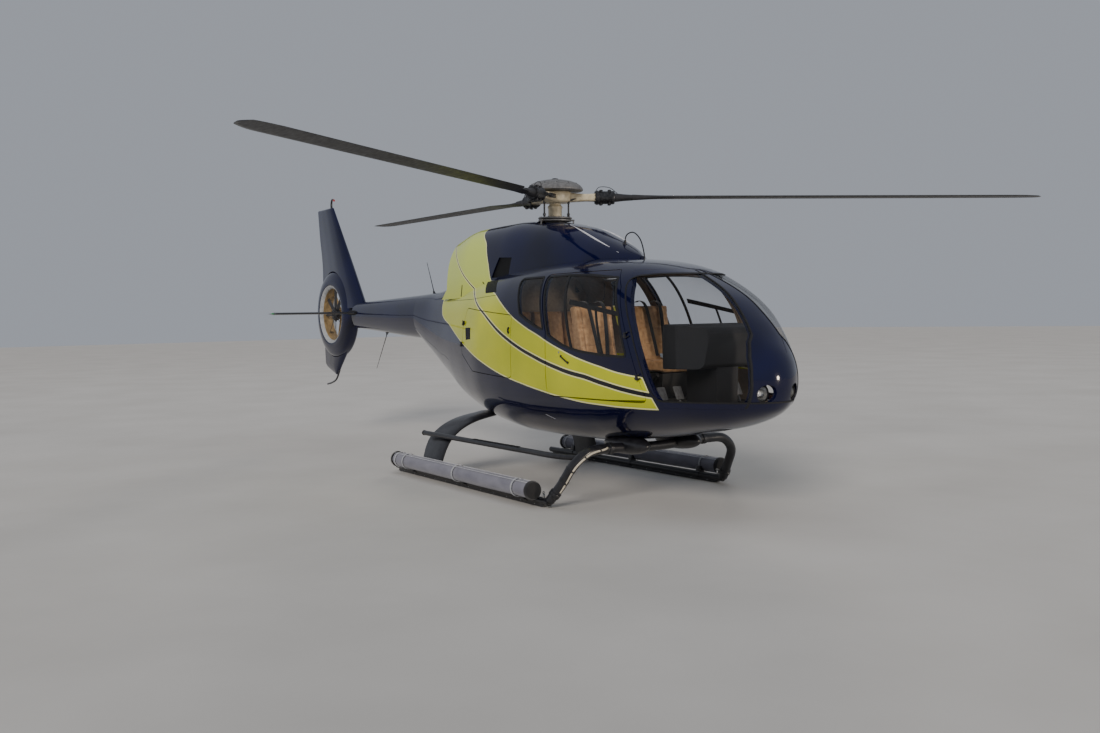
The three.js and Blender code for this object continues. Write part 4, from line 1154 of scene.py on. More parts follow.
def window(name, seal_name, outline, sign, body="airframe"):
    """The glass of one window and the seal round it."""
    glass = cut_side(glass_shell, sign, [grow(outline, -SEAM)])
    pane(name, outer_sheet(glass), [name], body=body)
    seal(seal_name, outline, sign, body=body)


def patch(name, outline, sign, material, layer, field=hull_field, body="airframe"):
    """A thin plate of the given outline that lies in the skin."""
    pane(name, cut_side(layer, sign, [outline]), (), material, field, body)


def hull_part(name, *steps):
    """A fixed part of the hull's shell, which stands for the solid of its name."""
    skin(name, carve(hull_shell, *steps))


PAST_NOSE = 3200
ABOVE_ROOF = 2600
NOSE_BACK_X = 2300
POST_BACK_X = 1700
POST_FOOT_Z = 1500
LAMP = (2925, 150, 1040)
LAMP_RADIUS = 58

belly_zone = slab(SIDE_BACK, PAST_NOSE, -FAR, FAR, 0, FLOOR_Z - SEAM)
roof_zone = prism([
    *[(x, z + SEAM) for x, z in ROOF_EDGE], (SIDE_BACK, ABOVE_ROOF), (PAST_NOSE, ABOVE_ROOF),
], 1, -FAR, FAR)
rear_zone = slab(HULL_END_X - 5, SIDE_BACK - SEAM, -FAR, FAR, 0, ABOVE_ROOF)
nose_prism = prism(front_band(NOSE_HALF), 0, NOSE_BACK_X, PAST_NOSE)
post_half = [(y, z + (SEAM if z == POST_FOOT_Z else 0)) for y, z in POST_HALF]
post_prism = prism(front_band(post_half), 0, POST_BACK_X, PAST_NOSE)
whole_band = NOSE_HALF + POST_HALF[1:]
band_cut = prism(front_band([(y + SEAM, z) for y, z in whole_band]), 0, POST_BACK_X, PAST_NOSE)
lamp_holes = [
    ("DIFFERENCE", turned(rod_profile(LAMP_RADIUS + 14, 300, 4), 40, frame_at(
        (LAMP[0] - 75, sign * LAMP[1], LAMP[2]), AHEAD)))
    for _, sign in SIDES
]
hull_part("belly", ("INTERSECT", belly_zone))
hull_part("roof", ("INTERSECT", roof_zone))
hull_part("nose_cap", ("INTERSECT", nose_prism), *lamp_holes)
hull_part("centre_post", ("INTERSECT", post_prism))
post_seal = carve(
    seal_shell,
    ("INTERSECT", prism(grow(front_band(whole_band), 10), 0, POST_BACK_X, PAST_NOSE)),
    ("DIFFERENCE", prism(grow(front_band(whole_band), -3), 0, POST_BACK_X - 10, PAST_NOSE + 10)),
    ("INTERSECT", slab(POST_BACK_X, PAST_NOSE, -FAR, FAR, 925, 2050)),
)
pane("post_seal", post_seal, (), RUBBER)
hull_part("rear_fuselage", ("INTERSECT", rear_zone))

CANOPY_EDGE = rounded([
    (2232, 968, 120), (2140, 1150, 0), (1990, 1545, 0), (1766, 2002, 150),
    (1990, 2020, 0), (3120, 2020, 0), (3120, 968, 0),
])
PANE_BARS = {
    "upright": [(968, 2062), (1000, 2062), (1236, 1376), (1206, 1384)],
    "vent_rail": [(1145, 1826), (1150, 1782), (1838, 1664), (1826, 1702)],
    "vent_slant": [(1520, 1742), (1540, 1738), (1668, 1344), (1648, 1346)],
}
DOORS = {-1: "front_door_right", 1: "front_door_left"}
SILL_FLANGE = [(812, 925), (2165, 925), (2150, 990), (812, 990)]
HOLD_LINING = [(-347, 1050), (-347, 1780), (240, 1745), (240, 1050)]

for side, sign in SIDES:
    canopy = cut_side(glass_shell, sign, [canopy_outline], (), [band_cut])
    pane(f"canopy_{side}", outer_sheet(canopy), [f"canopy_{side}"], CANOPY_GLASS)
    edge = cut_side(film_shell, sign, [grow(canopy_outline, -1)], [CANOPY_EDGE], [band_cut])
    pane(f"canopy_edge_{side}", edge, (), NAVY_PAINT)
    seal(f"canopy_seal_{side}", CANOPY_EDGE, sign, 5, 8)
    door_frame = cut_side(hull_shell, sign, [frame_outline], [door_opening])
    skin(f"door_frame_{side}", door_frame)
    leaf = cut_side(hull_shell, sign, [grow(door_opening, -DOOR_GAP), door_above_sill], [door_window])
    skin(f"door_{side}", leaf, body=DOORS[sign])
    window(f"door_glass_{side}", f"door_window_seal_{side}", door_window, sign, DOORS[sign])
    for bar, outline in PANE_BARS.items():
        patch(f"door_{bar}_{side}", outline, sign, RUBBER, seal_shell, body=DOORS[sign])
    flange = cut_side(flange_shell, sign, [SILL_FLANGE])
    add(f"sill_flange_{side}", flange, [PAINT, TRIM], (), None)
    store_paint_lines(flange)
    smooth_by_field(flange, hull_field, 1)

SIDE_OPENINGS = {
    "right": [door_opening, quarter_window, baggage_opening],
    "left": [door_opening, sliding_opening],
}
side_panels = {
    side: cut_side(hull_shell, sign, [side_outline], SIDE_OPENINGS[side]) for side, sign in SIDES
}
skin("side_panel_right", side_panels["right"])
window("quarter_glass_right", "quarter_window_seal", quarter_window, -1)
hatch = cut_side(hull_shell, -1, [grow(baggage_opening, -HATCH_GAP)])
skin("baggage_door", hatch, body="hold_door")
add("hold_lining", cut_side(lining_shell, -1, [HOLD_LINING]), TRIM)
skin("side_panel_left", side_panels["left"])
sliding = cut_side(hull_shell, 1, [grow(sliding_opening, -DOOR_GAP)], [sliding_window])
skin("sliding_door", sliding)
window("sliding_door_glass", "sliding_window_seal", sliding_window, 1)

# Upper cowl

MAST_HOLE_RADIUS = 185
INTAKE = [(-500, 2301), (-264, 2287), (-312, 2090), (-644, 2096)]
cowl_shell = carve(
    loft(cowl_grid(0)),
    ("DIFFERENCE", loft(cowl_grid(20))),
    ("DIFFERENCE", hull_clear),
    ("DIFFERENCE", prism(COWL_REAR_CUT, 1, -FAR, FAR)),
    ("DIFFERENCE", turned(rod_profile(MAST_HOLE_RADIUS, 600), 64, frame_at((MAST_FOOT[0], 0, 2430), UP))),
)
cowl_front = carve(
    cowl_shell,
    ("INTERSECT", slab(COWL_SPLIT_X, 1500, -700, 700, 1800, 2800)),
    *[("DIFFERENCE", side_span(INTAKE, sign)) for _, sign in SIDES],
)
cowl_rear = carve(cowl_shell, ("INTERSECT", slab(-2300, COWL_SPLIT_X - SEAM, -700, 700, 1800, 2800)))
# The cowl's inner faces are near-black: painted shade inside the cowl.
skin("cowl_front", cowl_front, cowl_field, SHADE_BLACK)
skin("cowl_rear", cowl_rear, cowl_field, SHADE_BLACK)
cowl_screen = carve(loft(cowl_grid(14)), ("DIFFERENCE", loft(cowl_grid(18))))
cowl_film = carve(loft(cowl_grid(-1.2)), ("DIFFERENCE", loft(cowl_grid(4))))
for side, sign in SIDES:
    patch(f"intake_screen_{side}", INTAKE, sign, SCREEN, cowl_screen, cowl_field)

# Details of the skin

def on_skin(x, z, sign, lift=0.0):
    """A place on the hull's side, and the direction straight out of it."""
    place = np.array([[x, sign * hull_side_y(x, z), z]])
    normal = gradient(hull_field, place)[0]
    return Vector(place[0] + normal * lift), Vector(normal)


GRILLE = [(-924, 1570), (-768, 1571), (-752, 1464), (-895, 1454)]
COWL_WINDOW = [(-715, 2056), (-425, 2069), (-270, 1935), (-536, 1931)]
COWL_SLOTS = [
    [(-838, 2062), (-818, 2062), (-668, 1921), (-688, 1919)],
    [(-1310, 2045), (-1292, 2045), (-1324, 1918), (-1342, 1918)],
]
PANEL_SEAM = [(-1795, 1880), (-912, 1878), (-223, 1904)]
BELLY_STRIP = [(655, 760), (671, 760), (790, 722), (774, 722)]


def wide_line(points, width):
    """An outline of the given width along a line of points."""
    points = np.array(points, float)
    ahead = np.gradient(points, axis=0)
    ahead /= np.linalg.norm(ahead, axis=1)[:, None]
    across = np.stack([-ahead[:, 1], ahead[:, 0]], axis=1) * width / 2
    return [*(points + across), *(points - across)[::-1]]


patch("side_grille", GRILLE, -1, SCREEN, seal_shell)
patch("side_grille_frame", grow(GRILLE, 7), -1, RUBBER, film_shell)
for side, sign in SIDES:
    patch(f"cowl_window_hull_{side}", COWL_WINDOW, sign, SCREEN, film_shell)
    patch(f"cowl_window_{side}", COWL_WINDOW, sign, SCREEN, cowl_film, cowl_field)
    for i, slot_outline in enumerate(COWL_SLOTS):
        # Each slot is a near-black patch: painted shade standing for an opening.
        patch(f"cowl_slot_{i}_{side}", slot_outline, sign, SHADE_BLACK, cowl_film, cowl_field)
    patch(f"panel_seam_{side}", wide_line(PANEL_SEAM, 4), sign, RUBBER, film_shell)
patch("belly_strip", BELLY_STRIP, -1, PALE, film_shell)

# Pale rubber along the cowl's intake edge, on the side that meets the air; its paleness is partly a painted
# highlight along that edge.
INTAKE_EDGE = [
    (337, -106, 2580), (598, -163, 2498), (860, -173, 2389), (1153, -144, 2253),
]
for side, sign in SIDES:
    edge_path = [(x, -sign * y, z) for x, y, z in INTAKE_EDGE]
    edge_tube = tube(edge_path, lambda t: 9 * math.sin(math.pi * (0.06 + 0.88 * t)), 10, 40)
    add(f"intake_edge_{side}", edge_tube, PALE)


# Landing lamps in the nose

# The bulb's near-white colour is a painted highlight, standing for the lamp's bright reflection.
BULB_HIGHLIGHT_WHITE = surface("lamp_bulb_painted_highlight", (0.75, 0.76, 0.78), (0.9, 0.9, 0.9), (0.05, 0.1), 40)
# Each part's profile of (radius, height), its segments and its material
LAMP_PARTS = {
    "bowl": ([(0, 0), (20, 2), (44, 16), (58, 40), (64, 60), (70, 60), (62, 30), (46, 2), (20, -10),
              (0, -12)], 40, BRIGHT),
    # The bulb is painted near-white: a painted highlight.
    "bulb": ([(0, 0), (20, 2), (26, 12), (26, 26), (16, 40), (0, 44)], 32, BULB_HIGHLIGHT_WHITE),
    "rim": (ring_profile(LAMP_RADIUS, LAMP_RADIUS + 13, 60, 72, 3), 40, RUBBER),
    # The hood lining the lamp's hole is near-black painted shade.
    "hood": ([(71, -14), (72, -14), (72, 66), (71, 66), (71, -14)], 40, SHADE_BLACK),
}
for side, sign in SIDES:
    lamp_frame = frame_at((LAMP[0] - 44, sign * LAMP[1], LAMP[2]), AHEAD, UP)
    for part, (profile, segments, material) in LAMP_PARTS.items():
        add(f"lamp_{part}_{side}", turned(profile, segments, lamp_frame), material)


# Door furniture

HINGES = {
    "door": [((2074, 1160), (1939, 1506)), 1],
    "baggage": [((-1036, 1400), (-990, 1626)), -1],
}
HINGE_STAND_OFF = 12
HINGE_LENGTH = 48
HINGE_LUG = 36
LEAF_PLAY = 0.4


def hinge_frames(places, sign):
    """Frames of a hinge line at its two places: X ahead, Y outboard, Z along the line."""
    low, high = [
        Vector((x, sign * (hull_side_y(x, z) + HINGE_STAND_OFF), z)) for x, z in places
    ]
    up = (high - low).normalized()
    outboard = (Vector((0, sign, 0)) - up * sign * up.y).normalized()
    ahead = outboard.cross(up) * sign
    for place in (low, high):
        matrix = Matrix((ahead, outboard, up)).transposed().to_4x4()
        matrix.translation = place
        yield matrix


def knuckle(matrix, z0, z1, side):
    """A hinge barrel from z0 to z1 with its lug and two screws on one side."""
    middle = (z0 + z1) / 2
    barrel = turned(rod_profile(11, z1 - z0, 1.2), 28, matrix @ Matrix.Translation((0, 0, z0)))
    lug_place = matrix @ Matrix.Translation((side * HINGE_LUG / 2, -7, middle))
    lug = box((HINGE_LUG, 8, z1 - z0 - LEAF_PLAY), lug_place, 2)
    parts = [barrel, lug]
    for reach in (20, 30):
        place = Matrix.Translation((side * reach, -3.5, middle)) @ Matrix.Rotation(-math.pi / 2, 4, "X")
        parts.append(turned(rod_profile(3.2, 3, 1), 14, matrix @ place))
    return joined(parts)


def add_hinges(kind, sign, moving_body, label):
    """The fixed knuckles with their pin on the airframe, and the middle knuckle on the leaf."""
    places, frame_side = HINGES[kind]
    fixed = []
    moving = []
    outer = HINGE_LENGTH / 2
    inner = HINGE_LENGTH / 4
    pin = rod_profile(6, HINGE_LENGTH + 5, 1.5)
    for matrix in hinge_frames(places, sign):
        fixed.append(knuckle(matrix, -outer, -inner, frame_side))
        fixed.append(knuckle(matrix, inner, outer, frame_side))
        fixed.append(turned(pin, 20, matrix @ Matrix.Translation((0, 0, -outer - 2.5))))
        moving.append(knuckle(matrix, LEAF_PLAY - inner, inner - LEAF_PLAY, -frame_side))
    add(f"{label}_hinge_fixed", joined(fixed), GEAR)
    add(f"{label}_hinge_moving", joined(moving), GEAR, body=moving_body)


def lever_handle(name, start, end, sign, body="airframe"):
    """A flush pull handle between two places (x, z) on the skin."""
    places = np.linspace(start, end, 5)
    points = [on_skin(x, z, sign, 9)[0] for x, z in places]
    bar = tube(points, lambda t: 9 if 0.1 < t < 0.9 else 7.5, 14, 24, lambda t: 0.55)
    feet = [
        turned(rod_profile(11, 11, 2), 24, frame_at(*on_skin(x, z, sign, -2))) for x, z in (start, end)
    ]
    add(name, joined([bar, *feet]), STEEL, body=body)


for side, sign in SIDES:
    add_hinges("door", sign, DOORS[sign], f"door_{side}")
    lever_handle(f"door_handle_{side}", (1063, 1318), (1172, 1262), sign, DOORS[sign])
    lock = turned(rod_profile(10, 4, 1.2), 28, frame_at(*on_skin(1030, 1352, sign, -1)))
    add(f"door_lock_{side}", lock, BRIGHT, body=DOORS[sign])
add_hinges("baggage", -1, "hold_door", "baggage")
lever_handle("baggage_latch", (156, 1572), (158, 1528), -1, "hold_door")
lever_handle("sliding_door_handle", (610, 1420), (540, 1420), 1)
rail_points = [on_skin(x, 1440, 1, 3)[0] for x in np.linspace(-1180, -230, 9)]
add("sliding_door_rail", tube(rail_points, 7, 12, 50), STEEL)


# Engine, gearbox and exhaust

GEARBOX_HALF = (240, 170)
EXHAUST_PLACE = (-1501, 0, 2350)
EXHAUST_TILT = math.radians(-97)
to_mast = (
    Matrix.Translation((MAST_FOOT[0], 0, MAST_FOOT[1]))
    @ Matrix.Rotation(MAST_LEAN, 4, "Y")
    @ Matrix.Translation((0, 0, -MAST_FOOT[1]))
)


def bolt_circle(radius, count, z, size, height, matrix):
    """Hexagon heads in a ring, standing along the matrix's Z."""
    top = height * 1.7
    heads = []
    for k in range(count):
        a = 2 * math.pi * k / count
        spot = matrix @ Matrix.Translation((radius * math.cos(a), radius * math.sin(a), z))
        heads.append(turned([(0, 0), (size, 0), (size, height), (0, height)], 6, spot))
        heads.append(turned([(0, height), (size * 0.5, height), (size * 0.5, top), (0, top)], 10, spot))
    return heads


gearbox_block = slab(
    MAST_FOOT[0] - GEARBOX_HALF[0], MAST_FOOT[0] + GEARBOX_HALF[0], -GEARBOX_HALF[1], GEARBOX_HALF[1],
    2050, MAST_FOOT[1] - 60,
)
gearbox_parts = [
    carve(gearbox_block, ("DIFFERENCE", hull_clear)),
    turned([(0, 2440), (165, 2440), (165, 2490), (140, 2519.6), (0, 2519.6)], 64, to_mast),
]
for k in range(8):
    rib = Matrix.Rotation(math.radians(22.5 + 45 * k), 4, "Z") @ Matrix.Translation((150, 0, 2480))
    gearbox_parts.append(box((40, 9, 70), to_mast @ rib, 3))
gearbox_parts += bolt_circle(152, 16, 2488, 6, 5, to_mast)
solid("gearbox", joined(gearbox_parts), CAST)

ENGINE_PROFILE = [
    (0, 0), (120, 0), (168, 40), (168, 300), (150, 320), (150, 560), (120, 600), (120, 760), (0, 760),
]
engine_axis = frame_at((-1480, 0, 2330), AHEAD, UP)
engine_parts = [
    carve(slab(-1500, -700, -190, 190, 1980, 2380), ("DIFFERENCE", hull_clear)),
    turned(ENGINE_PROFILE, 48, engine_axis),
    *[turned(ring_profile(148, 178, z, z + 14, 2), 48, engine_axis) for z in (60, 180, 300, 440, 560)],
]
add("engine_casing", joined(engine_parts), CAST, ["engine"])

EXHAUST_PIPE = [
    (106, 0), (114, 0), (116, 60), (118, 300), (122, 418), (122, 430), (116, 430), (108, 410), (106, 300),
    (106, 0),
]
EXHAUST_CONE = [(0, 40), (40, 60), (56, 140), (40, 240), (12, 300), (0, 302)]
exhaust_matrix = Matrix.Translation(EXHAUST_PLACE) @ Matrix.Rotation(EXHAUST_TILT, 4, "Y")
add("exhaust", turned(EXHAUST_PIPE, 64, exhaust_matrix), BURNT)
add("exhaust_cone", turned(EXHAUST_CONE, 40, exhaust_matrix), BURNT)

# The deck that closes the cowl round the exhaust
DECK_SIDE = [
    (-1500, 2600), (-1648, 2520), (-1700, 2200), (-1740, 2010), (-1780, 1990),
    (-1760, 1990), (-1715, 2010), (-1676, 2200), (-1624, 2520), (-1490, 2600),
]
deck = carve(
    slab(-1900, -1520, -400, 400, 1900, 2600),
    ("INTERSECT", loft(cowl_grid(24))),
    ("INTERSECT", prism(DECK_SIDE, 1, -FAR, FAR)),
    ("DIFFERENCE", hull_clear),
    ("DIFFERENCE", turned(rod_profile(124, 700), 48, exhaust_matrix)),
)
pane("exhaust_deck", deck, (), SCREEN, cowl_field)


# Tail boom, duct and fins

BOOM_CURVES = [curve_through(-BOOM[:, 0], BOOM[:, k]) for k in (1, 2, 3)]
BOOM_EXPONENT = 2.2


def boom_loft(growth=0.0):
    """The boom's closed surface, grown outwards by a distance."""
    a = (np.arange(96) + 0.5) / 96 * 2 * math.pi
    across = power(np.cos(a), 2 / BOOM_EXPONENT)
    upwards = power(np.sin(a), 2 / BOOM_EXPONENT)
    rings = []
    for x in np.linspace(BOOM[0, 0], BOOM[-1, 0], 70):
        top, bottom, half = [float(curve(-x)) for curve in BOOM_CURVES]
        middle = (top + bottom) / 2
        rise = (top - bottom) / 2 + growth
        rings.append(np.column_stack([np.full(96, x), (half + growth) * across, middle + rise * upwards]))
    return loft(rings)


def both_faces(along, half):
    """The closed outline of a streamlined section, from its places along the chord and half heights."""
    upper = np.column_stack([along, half])
    lower = np.column_stack([along, -half])[1:][::-1]
    return np.concatenate([upper, lower])


duct_frame = frame_at((DUCT[0], 0, DUCT[1]), PORT, AHEAD)
shroud_disc = turned([
    (0, -400), (SHROUD_RADIUS + SEAM, -400), (SHROUD_RADIUS + SEAM, 400), (0, 400),
], 144, duct_frame)
boom_clear = boom_loft(SEAM)
tail_cuts = [("DIFFERENCE", shroud_disc), ("DIFFERENCE", boom_clear)]
boom = carve(boom_loft(), tail_cuts[0])
solid("tail_boom", boom, [PAINT])
store_paint_lines(boom)

SHROUD_HALF = [
    (375, 0), (375, 45), (388, 86), (410, 108), (440, 118), (480, 117), (520, 110), (600, 80), (634, 46),
    (640, 0),
]
DUCT_THROAT = 384
DUCT_LIP = 432
shroud_curve = through([(r, y, 0) for r, y in SHROUD_HALF], 44)
shroud_curve[:, 0] = np.clip(shroud_curve[:, 0], DUCT_RADIUS, SHROUD_RADIUS)
shroud_profile = [(r, y) for r, y, _ in shroud_curve]
shroud_profile += [(r, -y) for r, y, _ in reversed(shroud_curve[1:-1])] + [shroud_profile[0]]
shroud = turned(shroud_profile, 160, duct_frame)
slots = []
for face in shroud.polygons:
    middle = from_row(face.center)[0]
    reach = math.hypot(middle[0] - DUCT[0], middle[2] - DUCT[1])
    slots.append(2 if reach < DUCT_THROAT else 1 if reach < DUCT_LIP else 0)
solid("tail_duct", shroud, [NAVY_PAINT, RING_GREY, GOLD])
shroud.polygons.foreach_set("material_index", slots)

# Fin sections from the root to the tip: z, front x, rear x, width
UPPER_FIN = np.array([
    [1860, -4866, -6430, 226], [2440, -5278, -6400, 178], [3000, -5676, -6496, 108],
    [3380, -5950, -6550, 62],
])
LOWER_FIN = np.array([
    [1620, -4950, -6430, 190], [1520, -5020, -6425, 180], [1300, -5470, -6410, 140],
    [1040, -5770, -6400, 90], [870, -5945, -6010, 46],
])
FIN_SHAPE = np.array([[0, 0], [0.04, 0.55], [0.14, 0.9], [0.3, 1], [0.6, 0.72], [1, 0.14]])
fin_half = curve_through(np.sqrt(FIN_SHAPE[:, 0]), FIN_SHAPE[:, 1])


def fin_loft(table, round_off):
    """A fin through its sections, its tip rounded over."""
    rows = table[np.argsort(table[:, 0])]
    curves = [curve_through(rows[:, 0], rows[:, k]) for k in (1, 2, 3)]
    root, tip = table[0, 0], table[-1, 0]
    way = np.sign(tip - root)
    zs = np.linspace(root, tip - way * round_off, 60)
    ends = tip - way * round_off * (1 - np.sin(np.linspace(0.12, 1, 9) * math.pi / 2))
    u = np.linspace(0, 1, 34) ** 2
    sections = []
    for z in [*zs, *ends[:-1], tip]:
        lead, trail, width = [float(curve(np.clip(z, rows[0, 0], rows[-1, 0]))) for curve in curves]
        depth = 1 - abs(tip - z) / round_off
        scale = math.sqrt(max(1 - max(depth, 0) ** 2, 0.004))
        trim = round_off * 0.8 * (1 - scale)
        x = np.clip(lead - u * (lead - trail), trail + trim, lead - trim)
        section = both_faces(x, fin_half(np.sqrt(u)) * width / 2 * scale)
        sections.append(np.column_stack([section, np.full(len(section), z)]))
    return loft(sections)


TAIL_SKID = [(-5870, 0, 940), (-6010, 0, 800), (-6180, 0, 742), (-6360, 0, 712)]
for name, table, round_off in (("upper_fin", UPPER_FIN, 26), ("lower_fin", LOWER_FIN, 18)):
    fin = biggest(carve(fin_loft(table, round_off), *tail_cuts))
    solid(name, fin, NAVY_PAINT)
add("tail_skid", tube(TAIL_SKID, 13, 18, 60), GEAR)

STAB_X = -5040
STAB_Z = 1790
STAB_CHORD = 300
STAB_THICKNESS = 34
STAB_ROOT_Y = 110
STAB_TIP_Y = 1300
STAB_ROUND = 18
SIDE_LAMP_COLORS = {"right": (0.01, 0.22, 0.05), "left": (0.30, 0.01, 0.01)}
stab_u = np.linspace(0, 1, 26) ** 2
stab_half = curve_through(np.sqrt([0, 0.075, 0.35, 1]), [0, 0.7, 1, 0.18])
tip_ys = STAB_TIP_Y - (STAB_ROUND - 1) * (1 - np.sin(np.linspace(0, 1, 8) * math.pi / 2))
for side, sign in SIDES:
    sections = []
    for y in [*np.linspace(STAB_ROOT_Y, STAB_TIP_Y - STAB_ROUND, 30), *tip_ys]:
        depth = max(0, 1 - (STAB_TIP_Y - y) / STAB_ROUND)
        scale = math.sqrt(max(1 - depth**2, 0.01))
        x = STAB_X + (0.5 - stab_u) * (STAB_CHORD - 14 * (1 - scale))
        section = both_faces(x, stab_half(np.sqrt(stab_u)) * STAB_THICKNESS / 2 * scale)
        sections.append(np.column_stack([
            section[:, 0], np.full(len(section), sign * y), STAB_Z + section[:, 1],
        ]))
    stabiliser = carve(loft(sections), tail_cuts[1])
    solid(f"stabiliser_{side}", stabiliser, GEAR)
    root = turned([(0, 0), (1, 0), (1, 1), (0, 1)], 48, Matrix.Diagonal((176, 34, 16, 1)))
    root = moved(root, frame_at((STAB_X, sign * 122, STAB_Z), (0, sign, 0), AHEAD))
    add(f"stabiliser_root_{side}", root, RUBBER)
    lamp = tube([
        (-4960, sign * 1296, STAB_Z), (-4990, sign * 1306, STAB_Z), (-5030, sign * 1308, STAB_Z),
    ], 9, 14, 16)
    lamp_glass = glass_material(f"side_lamp_glass_{side}", SIDE_LAMP_COLORS[side], 0.5)
    add(f"side_lamp_{side}", lamp, lamp_glass)

# Aerials and the light over the fin

RODS = {
    "boom_whip_top": [(-2772, 1994), (-2790, 2035), (-2870, 2215), (-2950, 2390)],
    "boom_whip_below": [(-4170, 1511), (-4195, 1470), (-4360, 1250), (-4540, 1010)],
    "roof_whip": [(1060, 2340), (1090, 2420), (1190, 2440), (1290, 2370), (1345, 2235), (1350, 2183)],
}
ROD_FOOT = [(0, -6), (26, -6), (26, 2), (15, 10), (11, 34), (8, 40), (0, 40)]
for name, path in RODS.items():
    rod_path = [(x, 0, z) for x, z in path]
    whip = tube(rod_path, 6 if name == "roof_whip" else (lambda t: 6 - 3.2 * t), 14, 60)
    foot_up = Vector(rod_path[1]) - Vector(rod_path[0])
    foot = turned(ROD_FOOT, 28, frame_at(rod_path[0], foot_up))
    solid(name, joined([whip, foot]), GEAR)
FIN_TOP = 3380
stem = tube([
    (-6015, 0, FIN_TOP - 3), (-6015, 0, FIN_TOP + 60), (-5985, 0, FIN_TOP + 116), (-5915, 0, FIN_TOP + 106),
], lambda t: 16 - 3 * t, 18, 40)
solid("fin_light", stem, GEAR)
beacon = turned([(0, 0), (15, 0), (16, 10), (13, 24), (6, 31), (0, 32)], 28,
                frame_at((-5922, 0, FIN_TOP + 104), (0.9, 0, -0.45)))
add("fin_light_lens", beacon, glass_material("beacon_glass", (0.35, 0.02, 0.02), 0.5))


# Tail rotor and its drive

TAIL_BLADES = [0, 40, 93, 133, 180, 220, 273, 313]
TAIL_ROTOR_Y = -30
TAIL_BLADE_ROOT = 88
TAIL_BLADE_TIP = 364
TAIL_BLADE_CHORD = 52
DRIVE_STRUTS = [110, 230, 350]
TAIL_HUB = [(0, -34), (60, -34), (90, -30), (92, -24), (92, 20), (84, 32), (56, 44), (30, 50), (0, 52)]
TAIL_HUB_CAP = [(0, 50), (22, 50), (22, 60), (14, 66), (0, 66)]
DRIVE_POD = [(0, 0), (66, 0), (70, 6), (80, 60), (88, 108), (84, 120), (60, 128), (0, 130)]
BLADE_SHAPE = np.array([[0, 0], [0.06, 0.68], [0.25, 1], [0.6, 0.72], [1, 0.1]])
blade_half = curve_through(np.sqrt(BLADE_SHAPE[:, 0]), BLADE_SHAPE[:, 1])
port = Vector(PORT)


def blade_section(chord, thickness, count=14):
    """An aerofoil as pairs: place along the chord from its middle, height."""
    u = np.linspace(0, 1, count) ** 2
    return both_faces((0.5 - u) * chord, blade_half(np.sqrt(u)) * thickness / 2)


def duct_ways(degrees):
    """The directions out from the duct's axis and round it."""
    a = math.radians(degrees)
    return Vector((math.cos(a), 0, -math.sin(a))), Vector((math.sin(a), 0, math.cos(a)))


rotor_centre = Vector((DUCT[0], TAIL_ROTOR_Y, DUCT[1]))
rotor_hub_frame = frame_at(rotor_centre, (0, -1, 0), AHEAD)
tail_parts = [
    turned(TAIL_HUB, 64, rotor_hub_frame),
    *bolt_circle(64, 8, 38, 6, 6, rotor_hub_frame),
    turned(TAIL_HUB_CAP, 28, rotor_hub_frame),
]
tail_blades = []
for degrees in TAIL_BLADES:
    radial, tangent = duct_ways(degrees)
    sections = []
    for share in np.linspace(0, 1, 18):
        pitch = math.radians(33 - 9 * share)
        chord_way = tangent * math.cos(pitch) - port * math.sin(pitch)
        lift_way = tangent * math.sin(pitch) + port * math.cos(pitch)
        r = TAIL_BLADE_ROOT + share * (TAIL_BLADE_TIP - TAIL_BLADE_ROOT)
        centre = rotor_centre + radial * r
        chord = TAIL_BLADE_CHORD * (1 if share < 0.97 else 0.93)
        sections.append([
            list(centre + chord_way * u + lift_way * v) for u, v in blade_section(chord, 9 - 3 * share, 10)
        ])
    tail_blades.append(loft(sections))
    tail_parts.append(turned(rod_profile(14, 30, 4), 20, frame_at(rotor_centre + radial * 80, radial)))
solid("tail_rotor", joined(tail_parts), STEEL, body="tail_fan")
add("tail_rotor_blades", joined(tail_blades), BLADE, body="tail_fan")

pod_frame = frame_at((DUCT[0], 5.6, DUCT[1]), PORT, AHEAD)
drive_parts = [turned(DRIVE_POD, 64, pod_frame), *bolt_circle(70, 12, 122, 5, 4, pod_frame)]
for degrees in DRIVE_STRUTS:
    radial, across = duct_ways(degrees)
    sections = []
    for r in np.linspace(60, DUCT_RADIUS + 3, 20):
        centre = Vector((DUCT[0], 66, DUCT[1])) + radial * r
        flare = 1 + 0.5 * max(0, (r - 340) / 38) ** 2
        sections.append([
            list(centre + port * u * flare + across * v * flare) for u, v in blade_section(46, 17, 12)
        ])
    drive_parts.append(loft(sections))
solid("tail_drive", joined(drive_parts), GOLD)


# Mast, head and main blades

MAST_BASE = MAST_FOOT[1] + SEAM
MAST_PROFILE = [
    (0, MAST_BASE), (77, MAST_BASE), (77, 2600), (74, 2604), (74, 2668), (77, 2671), (77, 2700),
    (70, 2706), (70, 2780), (77, 2790), (77, 2800), (58, 2822), (58, 2838), (0, 2838),
]
SWASHPLATE_PROFILE = [
    (84, MAST_BASE), (125, MAST_BASE), (125, 2540), (120, 2545), (104, 2560), (100, 2568), (100, 2640),
    (110, 2650), (168, 2651), (172, 2654), (172, 2665), (168, 2668), (84, 2668), (84, MAST_BASE),
]
solid("mast", turned(MAST_PROFILE, 64, to_mast), CREAM, body="main_rotor")
swash_parts = [turned(SWASHPLATE_PROFILE, 64, to_mast), *bolt_circle(113, 16, 2545, 5, 5, to_mast)]
for z in np.arange(2572, 2638, 11):
    swash_parts.append(turned(ring_profile(96, 106, z, z + 6, 2.4), 48, to_mast))
